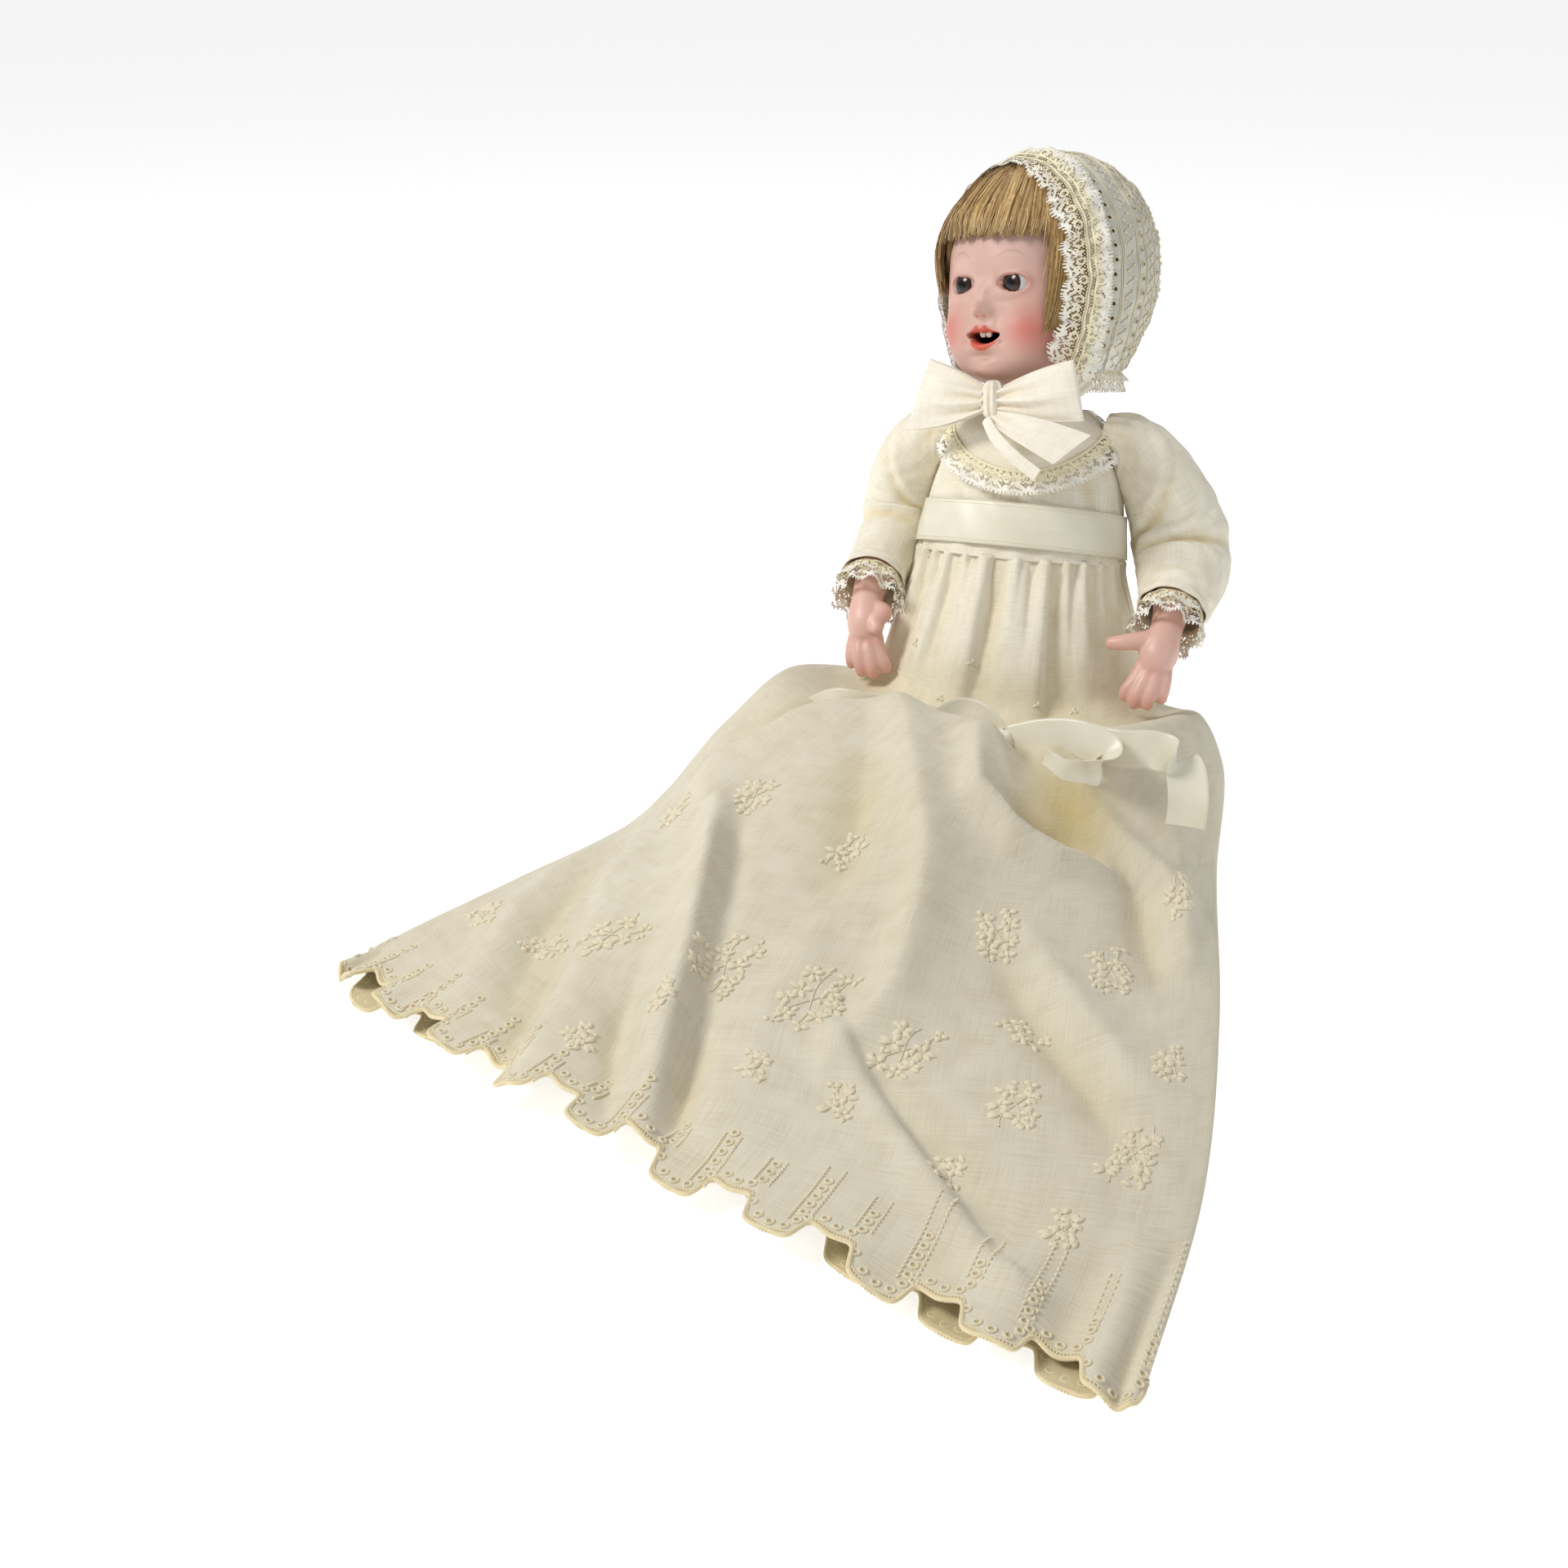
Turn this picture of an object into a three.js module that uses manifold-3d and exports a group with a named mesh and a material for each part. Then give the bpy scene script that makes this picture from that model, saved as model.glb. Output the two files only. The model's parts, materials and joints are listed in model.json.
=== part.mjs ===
// A seated character-baby doll with a porcelain socket head and a strung bent-limb composition body,
// dressed in a long christening gown and a tied lace bonnet. The gown is spread over the table.
// Millimetres, +Z up. The doll faces -Y and its own left side is +X. The origin lies on the table,
// under the seat. The trunk frame leans back from it, and the head frame sits in the neck socket.
import * as THREE from 'three';
import { ParametricGeometry } from 'three/addons/geometries/ParametricGeometry.js';
import { mergeVertices } from 'three/addons/utils/BufferGeometryUtils.js';
import Module from 'manifold-3d';

const wasm = await Module();
wasm.setup();

// ---------------------------------------------------------------- driving dimensions
const LEAN = THREE.MathUtils.degToRad(13.5); // the trunk leans back
const HEAD_TURN = THREE.MathUtils.degToRad(23); // the head looks to the doll's right
const HEAD_TILT = THREE.MathUtils.degToRad(4.5); // and nods a little towards that shoulder
const NECK_Z = 170; // neck pivot, up the spine
const SHOULDER = new THREE.Vector3(42, 0, 155); // centre of the left shoulder ball
const HIP = new THREE.Vector3(27, -8, 27); // centre of the left hip ball, in the row frame
const TABLE_GAP = 1.7; // the hard body stays this far above the table, on the gown
const CLOTH = 1.2; // thickness of the gown's lawn with its lining
const WALL = 3; // porcelain and composition wall
const GAP = 0.4; // clearance between neighbouring pieces
const EYE = { x: 12.5, y: -31.5, z: 49.5, radius: 7.5 };
const MOUTH = { z: 25.5, halfWidth: 6.5, halfHeight: 3 };
const HAIRLINE_Z = 67; // lower edge of the fringe, in the head frame
const RIBBON_WIDTH = 18; // satin ribbon round the waist and in the lap bow

// ---------------------------------------------------------------- frames
const doll = new THREE.Group();
const trunk = new THREE.Group();
trunk.rotation.x = -LEAN;
doll.add(trunk);
const head = new THREE.Group();
head.position.set(0, 0, NECK_Z);
head.rotation.set(0, -HEAD_TILT, -HEAD_TURN);
trunk.add(head);

// ---------------------------------------------------------------- materials
function plain(color, roughness, metalness = 0) {
  return new THREE.MeshStandardMaterial({ color, roughness, metalness });
}
const porcelain = plain(0xe3bfae, 0.35);
const composition = plain(0xdcb6a4, 0.45);
const mohair = plain(0xb08d52, 0.6);
const card = plain(0x9c8a6c, 0.9);
const glass = plain(0x2c1c16, 0.05);
const enamel = plain(0xf2ece0, 0.2);
const steel = plain(0x8d8f92, 0.4, 1);
const lead = plain(0x5d6065, 0.6, 1);
const cork = plain(0xb08a5e, 0.9);
const wood = plain(0xb79468, 0.7);
const elastic = plain(0xe9e2d0, 0.9);
const lawn = plain(0xece4cf, 0.85);
const lace = plain(0xefe9d8, 0.9);
const satin = plain(0xf1ecd9, 0.35);
const pearl = plain(0xeee8dc, 0.25);

// ---------------------------------------------------------------- geometry helpers
// One closed surface with shared vertices, no collapsed triangles, and faces that point out.
function closed(geometry) {
  const bare = new THREE.BufferGeometry();
  bare.setAttribute('position', geometry.getAttribute('position'));
  if (geometry.index) bare.setIndex(geometry.index);
  const merged = mergeVertices(bare, 1e-3);
  const from = merged.index.array;
  const position = merged.attributes.position;
  const [a, b, c] = [new THREE.Vector3(), new THREE.Vector3(), new THREE.Vector3()];
  const kept = [];
  let volume = 0;
  for (let i = 0; i < from.length; i += 3) {
    const [p, q, r] = [from[i], from[i + 1], from[i + 2]];
    if (p === q || q === r || r === p) continue;
    kept.push([p, q, r]);
    a.fromBufferAttribute(position, p);
    b.fromBufferAttribute(position, q);
    c.fromBufferAttribute(position, r);
    volume += a.dot(b.cross(c));
  }
  merged.setIndex(kept.flatMap(([p, q, r]) => (volume > 0 ? [p, q, r] : [p, r, q])));
  return merged;
}

function toSolid(geometry) {
  const g = closed(geometry);
  const vertProperties = new Float32Array(g.attributes.position.array);
  const triVerts = new Uint32Array(g.index.array);
  return new wasm.Manifold(new wasm.Mesh({ numProp: 3, vertProperties, triVerts }));
}

function toGeometry(solid) {
  const mesh = solid.getMesh();
  const g = new THREE.BufferGeometry();
  g.setAttribute('position', new THREE.BufferAttribute(new Float32Array(mesh.vertProperties), 3));
  g.setIndex(new THREE.BufferAttribute(new Uint32Array(mesh.triVerts), 1));
  return g;
}

function cut(geometry, ...cutters) {
  return toGeometry(cutters.reduce((solid, c) => solid.subtract(toSolid(c)), toSolid(geometry)));
}

function join(...geometries) {
  return toGeometry(geometries.map(toSolid).reduce((a, b) => a.add(b)));
}

function ball(radius, [x, y, z], segments = 20) {
  return new THREE.SphereGeometry(radius, segments, Math.round(segments * 0.6)).translate(x, y, z);
}

function ellipsoid([rx, ry, rz], [x, y, z], segments = 28) {
  const sphere = new THREE.SphereGeometry(1, segments, Math.round(segments * 0.6));
  return sphere.rotateX(Math.PI / 2).scale(rx, ry, rz).translate(x, y, z);
}

function block([x0, y0, z0], [x1, y1, z1]) {
  const box = new THREE.BoxGeometry(x1 - x0, y1 - y0, z1 - z0);
  return box.translate((x0 + x1) / 2, (y0 + y1) / 2, (z0 + z1) / 2);
}

// A round bar from one point to another, with flat ends.
function bar(from, to, radius, sides = 12) {
  const [a, b] = [new THREE.Vector3(...from), new THREE.Vector3(...to)];
  const along = b.clone().sub(a);
  const up = new THREE.Vector3(0, 1, 0);
  const turn = new THREE.Quaternion().setFromUnitVectors(up, along.clone().normalize());
  const cylinder = new THREE.CylinderGeometry(radius, radius, along.length(), sides);
  return cylinder.applyQuaternion(turn).translate(...a.add(b).multiplyScalar(0.5).toArray());
}

// A finger: a capsule from one point to another.
function capsule(from, to, radius) {
  const [a, b] = [new THREE.Vector3(...from), new THREE.Vector3(...to)];
  const along = b.clone().sub(a);
  const up = new THREE.Vector3(0, 1, 0);
  const turn = new THREE.Quaternion().setFromUnitVectors(up, along.clone().normalize());
  const pill = new THREE.CapsuleGeometry(radius, along.length(), 2, 8);
  return pill.applyQuaternion(turn).translate(...a.add(b).multiplyScalar(0.5).toArray());
}

function smoothThrough(points, closedLoop = false) {
  const list = points.map((p) => new THREE.Vector3(...p));
  return new THREE.CatmullRomCurve3(list, closedLoop, 'centripetal');
}

// A solid of stacked elliptic rings. Each station is [z, half width, half depth, centre y], and the
// first and last have no width. offset grows or shrinks every ring.
function stack(stations, { offset = 0, around = 24, rows = 16 } = {}) {
  const sizes = smoothThrough(stations.map(([z, rx, ry]) => [rx, ry, z]));
  const middles = smoothThrough(stations.map(([z, , , y = 0]) => [0, y, z]));
  const first = stations[0][0];
  const last = stations[stations.length - 1][0];
  return new ParametricGeometry((u, v, point) => {
    const size = sizes.getPoint(v);
    const middle = middles.getPoint(v);
    const z = v <= 0 ? first - offset : v >= 1 ? last + offset : size.z;
    const grown = v <= 0 || v >= 1 ? 0 : offset;
    const angle = 2 * Math.PI * u;
    point.set((size.x + grown) * Math.cos(angle), middle.y + (size.y + grown) * Math.sin(angle), z);
  }, around, rows);
}

// A limb: round sections of changing radius along a smooth line, closed with a point at each end.
function limb(path, radii, { around = 14, rows = 14 } = {}) {
  const line = smoothThrough(path);
  const sizes = smoothThrough(radii.map((r, i) => [i, r, 0]));
  const { normals, binormals } = line.computeFrenetFrames(rows, false);
  return new ParametricGeometry((u, v, point) => {
    const row = Math.round(v * rows);
    const radius = row === 0 || row === rows ? 0 : sizes.getPoint(v).y;
    const angle = 2 * Math.PI * u;
    line.getPoint(v, point);
    point.addScaledVector(normals[row], radius * Math.cos(angle));
    point.addScaledVector(binormals[row], radius * Math.sin(angle));
  }, around, rows);
}

// Cloth: a surface that closes on itself in u and is open at both ends of v, given a thickness.
// surface(u, v) returns a point. The cloth lies half its thickness to either side of it.
function cloth(surface, { around = 32, rows = 12, thickness = CLOTH } = {}) {
  const step = 1e-3;
  const at = (u, v, side) => {
    const here = surface(u, v);
    const du = surface(u + step, v).sub(surface(u - step, v));
    const dv = surface(u, Math.min(1, v + step)).sub(surface(u, Math.max(0, v - step)));
    return here.addScaledVector(du.cross(dv).normalize(), (side * thickness) / 2);
  };
  const stacks = 2 * rows + 2;
  return new ParametricGeometry((u, v, point) => {
    const row = Math.round(v * stacks) % stacks;
    const outside = row <= rows;
    point.copy(at(u % 1, outside ? row / rows : (stacks - 1 - row) / rows, outside ? 1 : -1));
  }, around, stacks);
}

// A cloth tube round a smooth line, such as a sleeve.
function clothTube(path, radii, options = {}) {
  const rows = options.rows ?? 10;
  const line = smoothThrough(path);
  const sizes = smoothThrough(radii.map((r, i) => [i, r, 0]));
  const up = new THREE.Vector3(0, 1, 0);
  return cloth((u, v) => {
    const tangent = line.getTangent(v);
    const side = new THREE.Vector3().crossVectors(up, tangent).normalize();
    const front = new THREE.Vector3().crossVectors(tangent, side);
    const radius = sizes.getPoint(v).y;
    const point = line.getPoint(v);
    point.addScaledVector(side, radius * Math.cos(2 * Math.PI * u));
    return point.addScaledVector(front, radius * Math.sin(2 * Math.PI * u));
  }, { around: 18, ...options, rows });
}

// A flat band along a smooth line: a ribbon, strap or tie. across is the direction of its width.
function band(path, width, thickness, across, rows = 12) {
  const line = smoothThrough(path);
  const wide = new THREE.Vector3(...across).normalize();
  const corners = [[-1, -1], [1, -1], [1, 1], [-1, 1]];
  return new ParametricGeometry((u, v, point) => {
    const row = Math.round(v * (rows + 2));
    const t = THREE.MathUtils.clamp((row - 1) / rows, 0, 1);
    line.getPoint(t, point);
    if (row === 0 || row === rows + 2) return;
    const normal = new THREE.Vector3().crossVectors(line.getTangent(t), wide).normalize();
    const [w, n] = corners[Math.round(u * 4) % 4];
    point.addScaledVector(wide, (w * width) / 2).addScaledVector(normal, (n * thickness) / 2);
  }, 4, rows + 2);
}

// A round cord along a smooth line.
function cord(path, radius, steps) {
  const section = new THREE.Shape().absarc(0, 0, radius, 0, 2 * Math.PI);
  return new THREE.ExtrudeGeometry(section, { steps, curveSegments: 4, extrudePath: smoothThrough(path) });
}

function mirrored(geometry) {
  return closed(geometry.clone().scale(-1, 1, 1));
}

function add(parent, name, geometry, material) {
  const mesh = new THREE.Mesh(closed(geometry), material);
  mesh.name = name;
  parent.add(mesh);
}

// A left piece and its mirror image on the right.
function addPair(parent, name, geometry, material) {
  add(parent, `${name}_left`, geometry, material);
  add(parent, `${name}_right`, mirrored(geometry), material);
}

// ---------------------------------------------------------------- composition body
const TORSO = [
  [-5, 0, 0, 0],
  [-3, 22, 18, 0],
  [8, 38, 30, -2],
  [32, 45, 37, -4],
  [60, 46, 38, -5],
  [90, 43.5, 35, -4],
  [118, 41, 32, -2],
  [140, 37, 28, 0],
  [157, 31, 24, 0],
  [166, 21, 19, 0],
  [170, 14, 14, 0],
  [171, 0, 0, 0],
];
const NECK_BALL = 14.5; // radius of the head's rounded neck, which turns in the torso's neck cup
const NECK_BALL_Z = 2; // its centre, in the head frame
const SHOULDER_BALL = 11;
const HIP_BALL = 13;

// The half-space below the table's clearance, turned into the trunk frame.
function belowSeat(height) {
  const slab = block([-300, -300, -200], [300, 300, height]);
  return slab.applyMatrix4(new THREE.Matrix4().makeRotationX(LEAN));
}

function hipInTrunk(side) {
  const point = new THREE.Vector3(side * HIP.x, HIP.y, HIP.z);
  return point.applyMatrix4(new THREE.Matrix4().makeRotationX(LEAN));
}

function torso() {
  const inside = stack(TORSO, { offset: -4, around: 14, rows: 10 });
  const shell = cut(stack(TORSO, { around: 22, rows: 15 }), inside);
  const sockets = [ball(NECK_BALL + GAP, [0, 0, NECK_Z + NECK_BALL_Z]), bar([0, 0, 140], [0, 0, 180], 8)];
  for (const side of [-1, 1]) {
    const hip = hipInTrunk(side);
    const thigh = hip.clone().add(new THREE.Vector3(side * 14, -60, -8));
    sockets.push(ball(SHOULDER_BALL + 4 * GAP, [side * SHOULDER.x, 0, SHOULDER.z], 16));
    sockets.push(ball(HIP_BALL + GAP, hip.toArray(), 14));
    sockets.push(bar(hip.toArray(), thigh.toArray(), 18, 16));
  }
  sockets.push(bar([-50, 0, SHOULDER.z], [50, 0, SHOULDER.z], 4));
  const [left, right] = [hipInTrunk(1), hipInTrunk(-1)];
  sockets.push(bar(left.toArray(), right.toArray(), 4.5));
  return cut(shell, ...sockets, belowSeat(TABLE_GAP));
}

const ARM_PATH = [
  [33, 0, 155],
  [42, 0, 154.5],
  [53, 1, 148],
  [63, 5, 135],
  [69, 9, 120],
  [71, 3, 107],
  [71, -14, 92],
  [70.5, -29, 80],
  [69, -34, 70],
  [67.5, -37, 60],
];
const ARM_RADII = [9, 11, 10.5, 11, 10.8, 10.5, 9, 6.6, 8, 4.5];
const LEFT_THUMB = [46, -36, 72]; // the tip of the thumb
const RIGHT_THUMB = [50, -42, 66]; // mirrored
const ARM_TUCK = 9; // how much closer to the trunk the right arm lies, from the elbow down

function asDrawn(point) {
  return point;
}

function tucked([x, y, z]) {
  return [x - ARM_TUCK * THREE.MathUtils.clamp((SHOULDER.z - z) / 48, 0, 1), y, z];
}

function arm(place, thumb) {
  const fingers = [
    capsule(place([64, -35, 66]), place([58, -39, 51]), 2.6),
    capsule(place([67, -36, 62]), place([63, -41, 48]), 2.7),
    capsule(place([70, -36, 62]), place([68, -41, 48]), 2.6),
    capsule(place([72, -34, 65]), place([73, -38, 51]), 2.4),
    capsule(place([66, -33, 74]), thumb, 2.7),
  ];
  const tunnel = bar([20, 0, 155], [43, 0, 155], 1.9);
  return cut(join(limb(ARM_PATH.map(place), ARM_RADII, { around: 14, rows: 14 }), ...fingers), tunnel);
}

const LEG_PATH = [
  [18, -7, 27],
  [26, -10, 26],
  [34, -30, 25],
  [42, -58, 26],
  [46, -80, 29],
  [42, -100, 23],
  [35, -116, 16],
  [31, -124, 12],
  [30, -130, 10],
];
const LEG_RADII = [11, 13.2, 15.5, 15.5, 14.5, 12.5, 10, 9, 6];

function leg() {
  const foot = ellipsoid([7.5, 8, 13], [31, -130, 17], 14);
  const tunnel = bar([0, HIP.y, HIP.z], [29, HIP.y, HIP.z], 2.1);
  const table = block([-20, -160, -20], [80, 20, TABLE_GAP]);
  return cut(join(limb(LEG_PATH, LEG_RADII, { around: 14, rows: 12 }), foot), tunnel, table);
}

// A strung limb's wire hook: a shank in the limb's tunnel with a small ring at its inner end.
function limbHook([x, y, z], reach) {
  const ring = new THREE.TorusGeometry(2.6, 0.7, 6, 14).rotateX(Math.PI / 2);
  return join(bar([x + 2.6, y, z], [x + reach, y, z], 0.7, 8), ring.translate(x, y, z));
}

add(trunk, 'torso', torso(), composition);
add(trunk, 'arm_left', arm(asDrawn, LEFT_THUMB), composition);
add(trunk, 'arm_right', mirrored(arm(tucked, RIGHT_THUMB)), composition);
addPair(doll, 'leg', leg(), composition);
addPair(trunk, 'arm_hook', limbHook([16, 0, SHOULDER.z], 24), steel);
addPair(doll, 'leg_hook', limbHook([9, HIP.y, HIP.z], 18), steel);
const armElastic = [[-12.4, 0, SHOULDER.z], [0, 6, SHOULDER.z], [12.4, 0, SHOULDER.z]];
add(trunk, 'arm_elastic', cord(armElastic, 1.1, 8), elastic);

// ---------------------------------------------------------------- neck fittings
const NECK_RING_Z = -25; // centre of the hook's ring, in the head frame

// The elastic that holds the head: up from one leg hook, through the neck hook's ring and down again.
function neckElastic() {
  const hook = hipInTrunk(1);
  const path = [
    [6, hook.y, hook.z + 5],
    [11, 2, 80],
    [9, 1, 125],
    [5, 0, NECK_Z + NECK_RING_Z - 1],
    [-5, 0, NECK_Z + NECK_RING_Z - 1],
    [-9, 1, 125],
    [-11, 2, 80],
    [-6, hook.y, hook.z + 5],
  ];
  return cord(path, 1.1, 24);
}

function neckHook() {
  const ring = new THREE.TorusGeometry(4.2, 0.9, 6, 16).rotateY(Math.PI / 2);
  const shank = bar([0, 0, NECK_RING_Z + 4.2], [0, 0, -3], 0.9, 8);
  const toggle = bar([-5, 0, -2.4], [5, 0, -2.4], 0.9, 8);
  return join(ring.rotateZ(HEAD_TURN).translate(0, 0, NECK_RING_Z), shank, toggle);
}

add(trunk, 'neck_elastic', neckElastic(), elastic);
add(head, 'neck_hook', neckHook(), steel);
const buttonHole = bar([0, 0, -20], [0, 0, 5], 1.4);
add(head, 'neck_button', cut(bar([0, 0, -8.2], [0, 0, -4], 7, 18), buttonHole), wood);

// ---------------------------------------------------------------- porcelain head
const HEAD = [
  [-12.5, 0, 0, 0],
  [-10.5, 8, 8, 0],
  [-4, 13, 13, 0],
  [2, 13.6, 13.6, 0],
  [7, 17, 18, -3],
  [12, 23, 26.5, -8],
  [22, 31, 36, -5],
  [36, 36, 40, -1],
  [52, 37.5, 42, 1],
  [68, 36.5, 42.5, 3],
  [82, 31, 37, 4],
  [93, 21, 25, 5],
  [100, 0, 0, 5],
];
const CROWN_CUT_Z = 82; // the porcelain is open above this, under the pate
const BONNET = [
  [-2, 0, 0, 1],
  [0, 28, 27, 1],
  [12, 35, 34, 1],
  [26, 41.5, 42.5, 3],
  [44, 46.5, 49.5, 5.5],
  [60, 47, 51, 7],
  [76, 43.5, 48, 8],
  [90, 35, 40, 9],
  [100, 24, 28, 10],
  [106, 10, 12, 10],
  [107.5, 0, 0, 10],
]; // the inside of the lace bonnet, over the hair

function porcelainHead() {
  const nose = ellipsoid([4.5, 5, 4.5], [0, -41.5, 38.5], 12);
  const outside = join(stack(HEAD, { around: 26, rows: 18 }), nose);
  const eyeHoles = [1, -1].flatMap((side) => {
    const eye = [side * EYE.x, EYE.y, EYE.z];
    const opening = bar([eye[0], eye[1], eye[2]], [eye[0], -60, eye[2]], 5.6, 16);
    return [ball(EYE.radius + GAP, eye, 14), opening];
  });
  const mouth = ellipsoid([MOUTH.halfWidth, 14, MOUTH.halfHeight], [0, -42, MOUTH.z], 16);
  const neckHole = bar([0, 0, -30], [0, 0, 0], 4.6, 16);
  const neckRoom = bar([0, 0, -8.6], [0, 0, 12], 9.5, 20);
  const inside = stack(HEAD, { offset: -WALL, around: 18, rows: 13 });
  const crown = block([-80, -80, CROWN_CUT_Z], [80, 80, 140]);
  return cut(outside, inside, ...eyeHoles, mouth, neckHole, neckRoom, crown);
}

function pate() {
  const inside = stack(HEAD, { offset: -1.6, around: 18, rows: 13 });
  const dome = cut(stack(HEAD, { around: 22, rows: 18 }), inside);
  return cut(dome, block([-80, -80, -40], [80, 80, CROWN_CUT_Z + GAP]));
}

function wig() {
  const hair = stack(HEAD, { offset: 4.4, around: 26, rows: 18 });
  const scalp = stack(HEAD, { offset: 1.2, around: 26, rows: 18 });
  const face = block([-29.5, -80, -20], [29.5, -6, HAIRLINE_Z]);
  const nape = block([-80, -80, -20], [80, 80, 13]);
  const frontOfLocks = block([-80, -80, -20], [80, -26, HAIRLINE_Z - 6]);
  return cut(hair, scalp, face, nape, frontOfLocks);
}

// Two upper front teeth on one enamel slip, held behind the upper lip.
function teeth() {
  const tooth = (x) => ellipsoid([1.7, 1.2, 2.4], [x, -33.2, MOUTH.z + 1.6], 10);
  return join(tooth(-1.55), tooth(1.55), block([-4.5, -33, MOUTH.z + 2.5], [4.5, -31.6, MOUTH.z + 5]));
}

add(head, 'porcelain_head', porcelainHead(), porcelain);
add(head, 'crown_pate', pate(), card);
add(head, 'mohair_wig', wig(), mohair);
add(head, 'upper_teeth', teeth(), enamel);

// ---------------------------------------------------------------- sleep eyes
const WEIGHT = [0, -18.5, 17.5]; // the lead hangs behind the chin and rests against the cork
const ROD = EYE.x - EYE.radius - 0.3;

addPair(head, 'eye', ball(EYE.radius, [EYE.x, EYE.y, EYE.z], 18), glass);
add(head, 'eye_rocker', join(
  bar([-ROD, EYE.y, EYE.z], [ROD, EYE.y, EYE.z], 1, 8),
  bar([0, EYE.y, EYE.z], [0, -20.2, 23], 0.9, 8),
), steel);
add(head, 'eye_weight', ball(5, WEIGHT, 14), lead);
add(head, 'eye_stop_cork', bar([0, -27.6, 16.8], [0, -24, 17.1], 2.6, 12), cork);

// ---------------------------------------------------------------- gown bodice and trims
const WAIST_Z = 107; // waist seam, up the spine
const BODICE_EASE = 2.9; // the bodice stands off the body
const BODICE_TOP_Z = 169;

// The torso's outline seen as rings, grown by an offset: a point at angle u and height z.
const torsoSizes = TORSO.slice(1, -1);
function onTorso(u, z, offset, rise = 0) {
  const next = Math.max(1, torsoSizes.findIndex(([height]) => height >= z));
  const [[z0, w0, d0, y0], [z1, w1, d1, y1]] = [torsoSizes[next - 1], torsoSizes[next]];
  const t = (z - z0) / (z1 - z0);
  const angle = 2 * Math.PI * u;
  const lift = rise * Math.sin(-angle); // the front is the side at -Y
  return new THREE.Vector3(
    (THREE.MathUtils.lerp(w0, w1, t) + offset) * Math.cos(angle),
    THREE.MathUtils.lerp(y0, y1, t) + (THREE.MathUtils.lerp(d0, d1, t) + offset) * Math.sin(angle),
    z + lift,
  );
}

const armholes = [1, -1].map((side) => {
  return bar([side * 27, 0, SHOULDER.z], [side * 70, 0, SHOULDER.z], SHOULDER_BALL + 2.5, 16);
});

function bodice() {
  const wall = (u, v) => onTorso(u, THREE.MathUtils.lerp(WAIST_Z, BODICE_TOP_Z, v), BODICE_EASE);
  const neckHole = ball(NECK_BALL + 2, [0, 0, NECK_Z + NECK_BALL_Z], 14);
  return cut(cloth(wall, { around: 26, rows: 7 }), ...armholes, neckHole);
}

function waistRibbon() {
  const wall = (u, v) => onTorso(u, WAIST_Z - 1 + RIBBON_WIDTH * v, BODICE_EASE + 1.6, 4);
  return cloth(wall, { around: 28, rows: 2, thickness: 0.8 });
}

// The collar is a soft cape round the neck that lies on the bodice.
function cape(inner, outer) {
  return (u, v) => {
    const drop = THREE.MathUtils.lerp(inner, outer, v);
    return onTorso(u, BODICE_TOP_Z - drop, BODICE_EASE + 1.8 + 0.03 * drop);
  };
}

add(trunk, 'gown_bodice', bodice(), lawn);
add(trunk, 'waist_ribbon', waistRibbon(), satin);

// The cape's sides stop short of the sleeves, so its lace is a front and a back length.
const besideCape = [block([-90, -60, 60], [-36, 60, 220]), block([36, -60, 60], [90, 60, 220])];
function capePart(inner, outer, rows) {
  const whole = cloth(cape(inner, outer), { around: 28, rows, thickness: 0.8 });
  return cut(whole, ...besideCape, ...armholes);
}
const capeLace = capePart(27.6, 37, 2);
add(trunk, 'collar', capePart(1, 27, 4), lawn);
add(trunk, 'collar_lace_front', cut(capeLace, block([-90, -3, 60], [90, 90, 220])), lace);
add(trunk, 'collar_lace_back', cut(capeLace, block([-90, -90, 60], [90, 3, 220])), lace);
for (let i = 0; i < 3; i += 1) {
  const z = WAIST_Z + 27 + 12 * i;
  const button = new THREE.CylinderGeometry(2.6, 2.6, 1.4, 16);
  add(trunk, `back_button_${i + 1}`, button.translate(0, onTorso(0.25, z, 8).y, z), pearl);
}

// ---------------------------------------------------------------- sleeves
const SLEEVE_PATH = [
  [52, 0.5, 149],
  [61, 3, 137],
  [68.5, 5.5, 123],
  [72, 0.5, 107],
  [72, -11, 95],
  [71, -20, 87.5],
];
const SLEEVE_RADII = [13.5, 15.5, 17, 17.5, 15.5, 13.5];
const SLEEVE_END = [71, -20, 87.5];
const CUFF_PATH = [[71, -20.8, 86.8], [70.5, -28.5, 80.5]];
// The right sleeve, mirrored, lies flat along its arm.
const RIGHT_SLEEVE_PATH = [...ARM_PATH.slice(2, 7), SLEEVE_END].map(tucked);
const RIGHT_SLEEVE_RADII = [13, 13.2, 13.2, 13.2, 13.2, 13.5];

function sleeve(path, radii) {
  return clothTube(path, radii, { around: 16, rows: 9 });
}

function cuff(place) {
  return clothTube(CUFF_PATH.map(place), [13.4, 12.6], { around: 16, rows: 2, thickness: 0.8 });
}

add(trunk, 'sleeve_left', sleeve(SLEEVE_PATH, SLEEVE_RADII), lawn);
add(trunk, 'sleeve_right', mirrored(sleeve(RIGHT_SLEEVE_PATH, RIGHT_SLEEVE_RADII)), lawn);
add(trunk, 'cuff_lace_left', cuff(asDrawn), lace);
add(trunk, 'cuff_lace_right', mirrored(cuff(tucked)), lace);

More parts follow.
